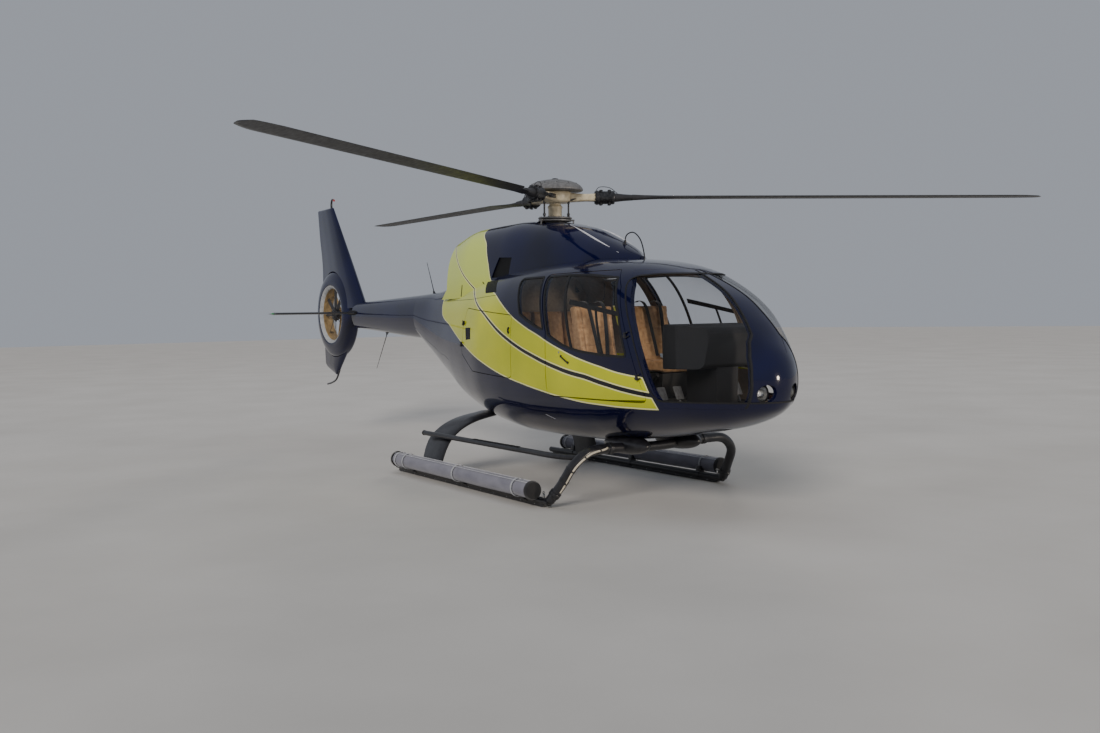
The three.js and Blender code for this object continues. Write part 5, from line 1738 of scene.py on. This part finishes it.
for k in range(3):
    a = math.radians(40 + 120 * k)
    spin = to_mast @ Matrix.Rotation(a, 4, "Z")
    swash_parts.append(box((44, 30, 14), spin @ Matrix.Translation((182, 0, 2660)), 4))
    swash_parts.append(rod(spin @ Vector((215, 0, 2512)), spin @ Vector((192, 0, 2656)), 9))
solid("swashplate", joined(swash_parts), CAST)

HUB_BASE = 2838.3
HEAD_Z = 2893
HUB_PROFILE = [
    (0, HUB_BASE), (140, HUB_BASE), (152, 2842), (166, 2856), (170, 2866), (170, 2926), (164, 2944),
    (150, 2955), (0, 2955),
]
TURNING_RING = [
    (77.6, 2675), (168, 2675), (174, 2679), (175, 2684), (174, 2689), (168, 2693), (77.6, 2693),
    (77.6, 2675),
]
CAP_PROFILE = [
    (0, 2955.3), (150, 2955.3), (240, 2954), (278, 2957), (287, 2964), (288, 2974), (282, 2990), (262, 3014),
    (226, 3038), (170, 3058), (100, 3072), (40, 3079), (0, 3080),
]
# Sections of an arm and of a blade's neck: radius, width, height
ARM_SECTIONS = [
    (120, 130, 96), (180, 124, 90), (260, 112, 82), (330, 104, 76), (380, 108, 80), (418, 114, 84),
]
NECK_SECTIONS = [(596, 96, 92), (640, 92, 84), (700, 88, 70), (760, 88, 62), (796, 90, 58)]
SLEEVE_PROFILE = [
    (0, 0), (64, 0), (72, 6), (74, 26), (70, 34), (67, 60), (64, 150), (68, 168), (68, 190), (62, 199.6),
    (0, 199.6),
]
HEAD_WIRE = [(420, 20, HEAD_Z + 74), (450, 26, HEAD_Z + 108), (560, 30, HEAD_Z + 104), (640, 24, HEAD_Z + 46)]


def head_rings(spin, table, count, start, exponent):
    """Rings round an arm of the head, one for each section of the table."""
    a = (np.arange(count) + start) / count * 2 * math.pi
    return [
        [list(spin @ Vector((r, width / 2 * y, HEAD_Z + height / 2 * z)))
         for y, z in zip(power(np.cos(a), exponent), power(np.sin(a), exponent))]
        for r, width, height in table
    ]


def hub_arm(spin):
    """One arm of the hub, smoothed along its length."""
    rings = head_rings(spin, ARM_SECTIONS, 40, 0.5, 0.5)
    lines = [through([ring[k] for ring in rings], 24) for k in range(40)]
    return loft(np.array(lines).transpose(1, 0, 2))


def blade_pins(spin):
    """The four pins that hold one blade in its sleeve, with their nuts."""
    parts = []
    for r in (470, 556):
        for y in (-30, 30):
            parts.append(rod(spin @ Vector((r, y, HEAD_Z - 78)), spin @ Vector((r, y, HEAD_Z + 78)), 11))
            for z, turn in ((HEAD_Z + 66, 0), (HEAD_Z - 66, math.pi)):
                nut = spin @ Matrix.Translation((r, y, z)) @ Matrix.Rotation(turn, 4, "X")
                parts.append(turned([(0, 0), (18, 0), (18, 9), (0, 9)], 6, nut))
    return parts


def pitch_link(spin, spin_link):
    """The rod that sets one blade's pitch, with its two ends and the horn above it."""
    low = spin_link @ Vector((150, 0, 2692))
    high = spin_link @ Vector((150, 0, 2866))
    up = high - low
    parts = [rod(low, high, 9)]
    for share in (0.14, 0.86):
        end = frame_at(low.lerp(high, share) - up.normalized() * 13, up)
        parts.append(turned(rod_profile(15, 26, 4), 24, end))
    horn_start = spin_link @ Vector((150, 0, 2860))
    horn_end = spin @ Vector((300, -30, HEAD_Z - 20))
    horn_middle = (horn_start + horn_end) / 2 + Vector((0, 0, 10))
    parts.append(tube([horn_start, horn_middle, horn_end], 13, 16, 20, lambda t: 0.7))
    return parts


def damper(spin):
    """The damper beside one arm, between its two clamps."""
    start = spin @ Vector((200, 76, HEAD_Z))
    end = spin @ Vector((430, 84, HEAD_Z))
    clamps = [box((34, 50, 40), spin @ Matrix.Translation((r, 62, HEAD_Z)), 6) for r in (205, 425)]
    return [rod(start, end, 13), rod(start.lerp(end, 0.18), start.lerp(end, 0.62), 22), *clamps]


hub_body = [turned(HUB_PROFILE, 72, to_mast)]
fittings = bolt_circle(156, 18, 2693, 5, 5, to_mast)
sleeves = []
necks = []
for degrees in BLADE_ANGLES:
    spin = to_mast @ Matrix.Rotation(math.radians(degrees), 4, "Z")
    spin_link = to_mast @ Matrix.Rotation(math.radians(degrees - 25), 4, "Z")
    cuff_frame = spin @ Matrix.Translation((410, 0, HEAD_Z)) @ Matrix.Rotation(math.pi / 2, 4, "Y")
    hub_body.append(hub_arm(spin))
    sleeves.append(turned(SLEEVE_PROFILE, 56, cuff_frame))
    fittings += bolt_circle(58, 10, -6, 6, 6, cuff_frame)
    fittings += blade_pins(spin)
    fittings += pitch_link(spin, spin_link)
    fittings.append(tube([spin @ Vector(point) for point in HEAD_WIRE], 3.2, 10, 40))
    necks.append(loft(head_rings(spin, NECK_SECTIONS, 28, 0.5, 1)))
    fittings += damper(spin)
solid("rotor_hub", joined(hub_body), CREAM, body="main_rotor")
add("blade_sleeves", joined(sleeves), STEEL, body="main_rotor")
add("blade_necks", joined(necks), BLADE, body="main_rotor")
add("turning_ring", turned(TURNING_RING, 64, to_mast), CAST, body="main_rotor")
add("head_fittings", joined(fittings), STEEL, body="main_rotor")
solid("rotor_cap", turned(CAP_PROFILE, 96, to_mast), CAST, body="main_rotor")
cap_bolts = bolt_circle(236, 12, 3026, 7, 6, to_mast)
cap_bolts.append(turned([(0, 3078), (34, 3078), (34, 3084), (26, 3090), (0, 3092)], 40, to_mast))
add("rotor_cap_bolts", joined(cap_bolts), STEEL, body="main_rotor")

BLADE_TABLE = np.array([
    [0, 90, 60, 0], [0.04, 120, 44, 0], [0.09, 250, 34, 30], [0.5, 260, 28, 32], [0.93, 260, 22, 34],
    [0.985, 200, 16, 50], [1, 120, 8, 80],
])
blade_curves = [curve_through(BLADE_TABLE[:, 0], BLADE_TABLE[:, k]) for k in (1, 2, 3)]
blade_shares = np.concatenate([
    np.linspace(0, 0.12, 26)[:-1], np.linspace(0.12, 0.9, 50)[:-1], np.linspace(0.9, 1, 24),
])
BLADE_ROOT = 790.3
EDGE_FROM = 0.10
for i, degrees in enumerate(BLADE_ANGLES):
    spin = to_mast @ Matrix.Rotation(math.radians(degrees), 4, "Z")
    rings = []
    for share in blade_shares:
        chord, thickness, offset = [float(curve(share)) for curve in blade_curves]
        r = BLADE_ROOT + share * (ROTOR_RADIUS - BLADE_ROOT)
        z = BLADE_Z[0] + (BLADE_Z[1] - BLADE_Z[0]) * share
        rings.append([
            list(spin @ Vector((r, offset - u, z + v))) for u, v in blade_section(chord, thickness, 20)
        ])
    blade = loft(rings)
    count = len(rings[0])
    slots = np.zeros(len(blade.polygons), np.int32)
    for f in range((len(rings) - 1) * count):
        row, k = divmod(f, count)
        near_nose = k < 8 or k >= count - 8
        if near_nose and blade_shares[row] > EDGE_FROM:
            slots[f] = 1
    solid(f"main_blade_{i + 1}", blade, [BLADE, EROSION], body="main_rotor")
    blade.polygons.foreach_set("material_index", slots)


# Skids, cross tubes, legs and steps

SKID_Y = 1035
SKID_Z = 52
SKID_X = (-1760, 1250)
FLOAT_Y = 1127
FLOAT_Z = 152
FLOAT_X = (-1600, 1160)
FLOAT_RADIUS = 84
CROSS_TUBE_RADIUS = 44
HOSE_RADIUS = 9
STEP_Y = 960
STEP_Z = 452
FRONT_TUBE = [(1262, 1032, 70), (1375, 985, 215), (1478, 935, 380), (1510, 800, 492), (1500, 600, 508),
              (1500, 0, 488)]
HOSE_PATH = [(1376, -1002, 150), (1424, -985, 215), (1527, -935, 380), (1560, -800, 484),
             (1552, -640, 512), (1535, -600, 520)]
REAR_LEG = [
    (1012, 66, -795, -1205), (996, 190, -785, -1212), (918, 385, -762, -1218), (800, 500, -758, -1205),
    (620, 588, -752, -1185), (300, 655, -755, -1150),
]
SADDLES = [-1300, -200, 900]
STEP_PATH = [(-1240, STEP_Y), (-300, STEP_Y), (700, 958), (1290, 945), (1492, 862)]
SHOE = [
    (SKID_X[0] + 60, 8), (SKID_X[0] + 90, 0), (SKID_X[1] - 90, 0), (SKID_X[1] - 60, 8),
    (SKID_X[1] - 60, 30), (SKID_X[0] + 60, 30),
]
SKID_PLUG = [(0, -4), (30, -4), (33, 2), (33, 12), (26, 19), (0, 22)]
SADDLE_BOLT = [(0, 0), (7, 0), (7, 6), (0, 6)]

across_path = [*FRONT_TUBE, *[(x, -y, z) for x, y, z in FRONT_TUBE[-2::-1]]]
half_round = [(0, -1), *[(math.sin(a), -math.cos(a)) for a in np.linspace(0, math.pi, 28)[1:-1]], (0, 1)]
ball = turned(half_round, 56, frame_at((0, 0, 0), AHEAD, PORT))
cross_parts = [tube(across_path, CROSS_TUBE_RADIUS, 40, 200)]
for _, sign in SIDES:
    fairing = Matrix.Translation((1430, sign * 300, 520)) @ Matrix.Diagonal((300, 120, 90, 1))
    cross_parts.append(carve(moved(ball, fairing), ("DIFFERENCE", hull_clear)))
solid("front_cross_tube", joined(cross_parts), GEAR)
add("float_hose", tube(HOSE_PATH, HOSE_RADIUS, 16, 90), HOSE)

hose_points = through(HOSE_PATH, 40)
right_tube = through(FRONT_TUBE, 80) * [1, -1, 1]
hose_clamp = ring_profile(HOSE_RADIUS - 0.4, 12.5, -7, 7, 1.5)
tube_clamp = ring_profile(CROSS_TUBE_RADIUS - 0.4, 47, -8, 8, 1.2)
clamps = []
for i in (6, 14, 24, 34):
    near = right_tube[np.argmin(np.linalg.norm(right_tube - hose_points[i], axis=1))]
    way = hose_points[i + 1] - hose_points[i - 1]
    clamps.append(turned(hose_clamp, 24, frame_at(hose_points[i], way)))
    clamps.append(turned(tube_clamp, 40, frame_at(near, way)))
add("hose_clamps", joined(clamps), GEAR)

collar = ring_profile(CROSS_TUBE_RADIUS - 0.4, 52, -24, 24, 4)
tube_points = through(across_path, 200)
collars = [
    turned(collar, 48, frame_at(points[k], points[k + 1] - points[k]))
    for points in (tube_points[::-1], tube_points) for k in (6, 60)
]
add("cross_tube_collars", joined(collars), STEEL)


def rear_leg(sign):
    """The aerofoil leg on one side, from its foot into the belly."""
    rows = through([(y, z, 0) for y, z, _, _ in REAR_LEG], 50)
    share = np.linspace(0, 1, 51)
    knots = []
    for y, z, _, _ in REAR_LEG:
        knots.append(share[np.argmin(np.hypot(rows[:, 0] - y, rows[:, 1] - z))])
    fronts = curve_through(knots, [row[2] for row in REAR_LEG])
    rears = curve_through(knots, [row[3] for row in REAR_LEG])
    ways = np.gradient(rows[:, :2], axis=0)
    ways /= np.linalg.norm(ways, axis=1)[:, None]
    rings = []
    for s, row, way in zip(share, rows, ways):
        front, rear = float(fronts(s)), float(rears(s))
        section = blade_section(front - rear, 54, 22)
        middle = (front + rear) / 2
        rings.append([
            (middle + u, sign * (row[0] - v * way[1]), row[1] + v * way[0]) for u, v in section
        ])
    return loft(rings)


for side, sign in SIDES:
    y = sign * SKID_Y
    saddle_y = sign * ((SKID_Y + FLOAT_Y - 40) / 2 - 2)
    skid_parts = [
        tube([(x, y, SKID_Z) for x in (SKID_X[0], -600, 600, SKID_X[1])], 32, 32, 90),
        prism(SHOE, 1, y - 20, y + 20),
    ]
    for x in SADDLES:
        skid_parts.append(box((60, 66, 96), Matrix.Translation((x, saddle_y, SKID_Z + 34)), 6))
        skid_parts.append(turned(ring_profile(31.5, 37, -34, 34, 2), 40, frame_at((x, y, SKID_Z), AHEAD)))
        skid_parts += [
            turned(SADDLE_BOLT, 6, frame_at((x + dx, y, SKID_Z + 36), UP)) for dx in (-20, 20)
        ]
    solid(f"skid_{side}", joined(skid_parts), GEAR)
    leg = carve(rear_leg(sign), ("DIFFERENCE", hull_clear))
    solid(f"rear_leg_{side}", biggest(leg), GEAR)
    step = tube([(x, sign * step_y, STEP_Z) for x, step_y in STEP_PATH], 26, 28, 120)
    solid(f"step_{side}", step, GEAR)
    treads = [
        box((78, 34, 4), Matrix.Translation((x, sign * STEP_Y, STEP_Z + 27)), 1.5)
        for x in np.linspace(-150, 620, 9)
    ]
    add(f"step_treads_{side}", joined(treads), RUBBER)
    end_cap = rod((-1262, sign * STEP_Y, STEP_Z), (-1226, sign * STEP_Y, STEP_Z), 28, 32, 8)
    add(f"step_cap_{side}", end_cap, RUBBER)
    shoe_bolts = [
        rod((x, y - 22, 16), (x, y + 22, 16), 5, 12)
        for x in np.linspace(SKID_X[0] + 200, SKID_X[1] - 200, 12)
    ]
    add(f"shoe_bolts_{side}", joined(shoe_bolts), BRIGHT)
    plug = turned(SKID_PLUG, 36, frame_at((SKID_X[1] - 4, y, SKID_Z), AHEAD))
    add(f"skid_plug_{side}", plug, RUBBER)
    ring_foot = Vector((SKID_X[1] - 70, y - 6, SKID_Z))
    fitting = rod(ring_foot + Vector((0, 0, 30)), ring_foot + Vector((0, 0, 62)), 10, 20)
    ring = turned(ring_profile(9, 15, -4, 4, 2), 24, frame_at(ring_foot + Vector((0, 0, 76)), PORT))
    add(f"skid_ring_{side}", joined([fitting, ring]), BRIGHT)


# Floats of coated cloth, folded into long bags

CLOTH_PRESSURE = 4.0
CLOTH_FRAMES = 20
STRAP_X = [-1480, *SADDLES]


def modified(mesh, kind, **settings):
    """The mesh with one modifier applied."""
    holder = stand("shape", mesh)
    modifier = holder.modifiers.new("change", kind)
    for key, value in settings.items():
        setattr(modifier, key, value)
    result = evaluated(holder)
    bpy.data.objects.remove(holder)
    return result


def swollen(mesh, voxel, cap_mm):
    """The mesh blown up as cloth, with no point moving further than the cap."""
    fine = modified(mesh, "REMESH", mode="VOXEL", voxel_size=voxel / 1000)
    before = read(fine.vertices, "co", width=3)
    pad = stand("pad", fine)
    cloth = pad.modifiers.new("cloth", "CLOTH")
    cloth.settings.use_pressure = True
    cloth.settings.uniform_pressure_force = CLOTH_PRESSURE
    cloth.settings.effector_weights.gravity = 0
    cloth.point_cache.frame_start = 1
    cloth.point_cache.frame_end = CLOTH_FRAMES
    for step in range(1, CLOTH_FRAMES + 1):
        bpy.context.scene.frame_set(step)
    blown = evaluated(pad)
    bpy.data.objects.remove(pad)
    bpy.context.scene.frame_set(1)
    shift = read(blown.vertices, "co", width=3) - before
    length = np.linalg.norm(shift, axis=1)
    limit = cap_mm / 1000
    shift *= (limit * np.tanh(length / limit) / np.maximum(length, 1e-9))[:, None]
    blown.vertices.foreach_set("co", (before + shift).ravel())
    blown.update()
    return blown


def float_bag():
    """The left float: a long bag, pinched at its straps and rounded at its ends."""
    a = np.arange(40) / 40 * 2 * math.pi
    rings = []
    for x in np.linspace(FLOAT_X[0] + 4, FLOAT_X[1] - 4, 150):
        end = min(x - FLOAT_X[0], FLOAT_X[1] - x)
        round_end = math.sqrt(max(0.02, 1 - max(0, 1 - end / 60) ** 2))
        pinch = sum(math.exp(-((x - saddle) / 26) ** 2) for saddle in SADDLES)
        radius = (FLOAT_RADIUS - 8) * round_end * (1 - 0.05 * pinch)
        fold = 1 + 0.03 * np.cos(5 * a + x / 260) + 0.02 * np.cos(3 * a - x / 150)
        rings.append(np.column_stack([
            np.full(40, x), FLOAT_Y + radius * fold * np.cos(a), FLOAT_Z + radius * fold * np.sin(a),
        ]))
    mesh = swollen(loft(rings), 11, 8)
    points = points_of(mesh)
    off_axis = points[:, 1:] - [FLOAT_Y, FLOAT_Z]
    reach = np.linalg.norm(off_axis, axis=1)
    within = np.minimum(1, (FLOAT_RADIUS - 0.5) / np.maximum(reach, 1))
    points[:, 1:] = [FLOAT_Y, FLOAT_Z] + off_axis * within[:, None]
    points[:, 0] = np.clip(points[:, 0], *FLOAT_X)
    set_points(mesh, points)
    return mesh


FLOAT_CAP = [
    (FLOAT_RADIUS - 6, -20), (FLOAT_RADIUS + 0.5, -20), (FLOAT_RADIUS + 1, 4), (FLOAT_RADIUS - 8, 22),
    (50, 29), (0, 31), (0, 26), (48, 24), (FLOAT_RADIUS - 14, 16), (FLOAT_RADIUS - 6, -2),
    (FLOAT_RADIUS - 6, -20),
]
FLOAT_STRAP = ring_profile(FLOAT_RADIUS - 3, FLOAT_RADIUS + 1.6, -11, 11, 0.8)
left_bag = float_bag()
for side, sign in SIDES:
    bag = left_bag.copy() if sign > 0 else mirrored(left_bag)
    piece = solid(f"float_{side}", bag, FABRIC, 70)
    axis_y = sign * FLOAT_Y
    caps = [
        turned(FLOAT_CAP, 56, frame_at((x, axis_y, FLOAT_Z), (way, 0, 0)))
        for x, way in ((FLOAT_X[0] + 26, -1), (FLOAT_X[1] - 26, 1))
    ]
    add(f"float_caps_{side}", joined(caps), WEBBING)
    straps = [turned(FLOAT_STRAP, 56, frame_at((x, axis_y, FLOAT_Z), AHEAD)) for x in STRAP_X]
    add(f"float_straps_{side}", joined(straps), STRAP)
    seams = []
    for a in (math.radians(58), math.radians(128)):
        y = axis_y + sign * FLOAT_RADIUS * math.cos(a)
        z = FLOAT_Z + FLOAT_RADIUS * math.sin(a)
        line = [(x, y, z) for x in np.linspace(FLOAT_X[0] + 50, FLOAT_X[1] - 50, 6)]
        seams.append(tube(line, 2.2, 8, 60))
    add(f"float_seams_{side}", joined(seams), PALE)


# Cabin floor, controls and console

SEAT_Y = 340
CABIN_HALF = 800
hull_room = loft(hull_grid(WALL + 1.5))
floor_zone = slab(-340, 2300, -CABIN_HALF, CABIN_HALF, 860, 900)
bulkhead_zone = slab(-380, -345, -CABIN_HALF, CABIN_HALF, 860, 2200)
solid("cabin_floor", carve(hull_room, ("INTERSECT", floor_zone)), CARPET)
solid("rear_bulkhead", carve(hull_room, ("INTERSECT", bulkhead_zone)), TRIM)

# Side views (x, z) of the controls, and the boot's profile
STICK = [(1695, 898), (1695, 960), (1700, 1050), (1640, 1180), (1640, 1300)]
STICK_GRIP = [(1640, 1225), (1636, 1280), (1648, 1330)]
BOOT = [(0, 899), (62, 900), (60, 912), (36, 930), (24, 960), (14, 986), (0, 988)]
COLLECTIVE = [(1080, 930), (1250, 1010), (1420, 1120)]
COLLECTIVE_OFFSET = 262
PEDAL_ARM = [(2085, 960), (2110, 925), (2120, 899)]
PEDAL_OFFSET = 90


def side_tube(path, y, radius, sides, steps):
    """A tube along a path of (x, z) at one distance from the middle."""
    return tube([(x, y, z) for x, z in path], radius, sides, steps)


for side, sign in SIDES:
    y = sign * SEAT_Y
    boot = turned(BOOT, 32, Matrix.Translation((STICK[0][0], y, 0)))
    grip = side_tube(STICK_GRIP, y, lambda t: 19 - 5 * abs(t - 0.4), 20, 30)
    add(f"stick_{side}", side_tube(STICK, y, 11, 16, 50), STEEL)
    add(f"stick_grip_{side}", joined([boot, grip]), RUBBER)
    lever_y = y - sign * COLLECTIVE_OFFSET
    lever = side_tube(COLLECTIVE, lever_y, lambda t: 11 if t < 0.75 else 17, 16, 40)
    add(f"collective_{side}", lever, PLASTIC)
    pedals = []
    for pedal_y in (y - PEDAL_OFFSET, y + PEDAL_OFFSET):
        plate = Matrix.Translation((2080, pedal_y, 1010)) @ Matrix.Rotation(math.radians(-25), 4, "Y")
        pedals.append(box((16, 84, 120), plate, 5))
        pedals.append(side_tube(PEDAL_ARM, pedal_y, 9, 14, 16))
    add(f"pedals_{side}", joined(pedals), CAST)

PANEL_SIDE = rounded([
    (2060, 1220, 25), (2430, 1220, 60), (2470, 1500, 60), (2440, 1560, 60), (2110, 1592, 30),
    (2085, 1580, 20),
])
PANEL_PLAN = rounded([
    (2040, -425, 80), (2250, -420, 60), (2480, -250, 120), (2480, 250, 120), (2250, 420, 60),
    (2040, 425, 80),
])
PEDESTAL_SIDE = [(1990, 900.3), (2400, 900.3), (2420, 1400), (2080, 1400), (2030, 1180)]
console_room = [
    ("INTERSECT", loft(hull_grid(WALL + 20))),
    ("INTERSECT", prism(PANEL_PLAN, 2, 850, 1700)),
]
console = [
    carve(prism(PANEL_SIDE, 1, -420, 420), *console_room),
    carve(prism(PEDESTAL_SIDE, 1, -120, 120), *console_room),
]
solid("instrument_console", joined(console), PLASTIC)

# Rows of dials: height up the panel's face as a share, count, radius
DIAL_ROWS = [(0.80, 6, 38), (0.52, 6, 38), (0.24, 4, 32)]
DIAL_PITCH = 104
RADIO_PITCH = 48
face_top = Vector((2084, 0, 1575))
face_low = Vector((2061, 0, 1225))
face_up = (face_top - face_low).normalized()
face_out = Vector((-face_up.z, 0, face_up.x))
dials = []
rims = []
for height, count, radius in DIAL_ROWS:
    for k in range(count):
        across = Vector((0, (k - (count - 1) / 2) * DIAL_PITCH, 0))
        matrix = frame_at(face_low.lerp(face_top, height) + across + face_out, face_out, PORT)
        rims.append(turned(ring_profile(radius - 5, radius, -2, 7, 1.5), 36, matrix))
        dials.append(turned([(0, -1), (radius - 4, -1), (radius - 4, 3), (0, 3)], 32, matrix))
add("dial_rims", joined(rims), STEEL)
add("dial_faces", joined(dials), DIAL)
radio = [
    box((12, 180, 40), Matrix.Translation((1990 + (z - 900) * 0.142, 0, z)), 3)
    for z in np.arange(960, 1160, RADIO_PITCH)
]
add("radio_faces", joined(radio), STEEL)


# Seats and bench

# Each pad's side view (x, z, corner radius)
SEAT_PADS = {
    "cushion": [(1075, 1150, 40), (1440, 1140, 40), (1488, 1215, 40), (1440, 1262, 40), (1120, 1248, 50)],
    "back": [(1128, 1240, 30), (1025, 1790, 45), (905, 1782, 45), (988, 1120, 40), (1060, 1130, 30)],
}
BENCH_PADS = {
    "cushion": [(-190, 1140, 40), (205, 1130, 40), (250, 1185, 40), (225, 1248, 40), (-140, 1240, 50)],
    "back": [(-152, 1230, 30), (-236, 1755, 45), (-332, 1755, 45), (-338, 1130, 40), (-210, 1120, 30)],
}
PAD_FACES = {"cushion": (0.1, 0, 1), "back": (1, 0, 0.2)}
# Sewn channels: axis, places along it, width, depth
SEAT_CHANNELS = {
    "cushion": [(1, (-150, 150), 7, 9), (0, (1200, 1320), 7, 6)],
    "back": [(1, (-150, 150), 7, 9), (2, (1400, 1560), 7, 7)],
}
BENCH_CHANNELS = [(1, (-120, 0, 120), 8, 7)]
BENCH_PITCH = 386
SEAT_BASE = [(1020, 901), (1400, 901), (1425, 1130), (1000, 1130)]
BENCH_BASE = [(-340, 901), (150, 901), (185, 1125), (-340, 1125)]


def sewn_pad(outline, half_width, inset, voxel, cap_mm, face, rows):
    """A blown-up pad with its sewn channels pressed into the side that faces the sitter."""
    block = prism(grow(rounded(outline, 6), -inset), 1, inset - half_width, half_width - inset)
    pad = swollen(block, voxel, cap_mm)
    for axis, places, width, depth in rows:
        p = points_of(pad)
        n = read(pad.vertices, "normal", width=3)
        facing = np.clip(n @ np.array(face), 0, 1)
        for place in places:
            dip = depth * np.exp(-((p[:, axis] - place) / width) ** 2)
            p -= n * (dip * facing)[:, None]
        set_points(pad, p)
    return modified(pad, "SUBSURF", levels=1, render_levels=1)


def add_pad(name, pad, y, replaces):
    """A padded cushion, moved across to its seat."""
    piece = add(name, moved(pad, Matrix.Translation((0, y, 0))), LEATHER, [replaces], 80)


seat_pads = {
    label: sewn_pad(outline, 222, 12, 9, 14, PAD_FACES[label], SEAT_CHANNELS[label])
    for label, outline in SEAT_PADS.items()
}
for side, sign in SIDES:
    centre = sign * SEAT_Y
    for label, pad in seat_pads.items():
        add_pad(f"seat_{label}_{side}", pad, centre, f"seat_{side}")
    tub = prism(SEAT_BASE, 1, centre - 205, centre + 205)
    add(f"seat_base_{side}", tub, PLASTIC)
    for k, way in enumerate((-1, 1)):
        y = centre + way * 90
        belt = tube([
            (905, y, 1800), (960, y + way * 3, 1812), (1035, y, 1780), (1120, y - way * 24, 1500),
            (1160, y - way * 48, 1290),
        ], 21, 12, 50, lambda t: 0.09)
        add(f"seat_belt_{k}_{side}", belt, WEBBING)
    buckle = turned(rod_profile(26, 12, 3), 28, frame_at((1166, centre, 1282), (0.9, 0, 0.5)))
    add(f"seat_buckle_{side}", buckle, BRIGHT)

bench_pads = {
    label: sewn_pad(outline, 190, 10, 11, 13, PAD_FACES[label], BENCH_CHANNELS)
    for label, outline in BENCH_PADS.items()
}
for label, pad in bench_pads.items():
    for k in (1, 2, 3):
        add_pad(f"bench_{label}_{k}", pad, BENCH_PITCH * (k - 2), "rear_bench")
bench_base = carve(prism(BENCH_BASE, 1, -575, 575), ("INTERSECT", loft(hull_grid(WALL + 12))))
add("bench_base", bench_base, PLASTIC)
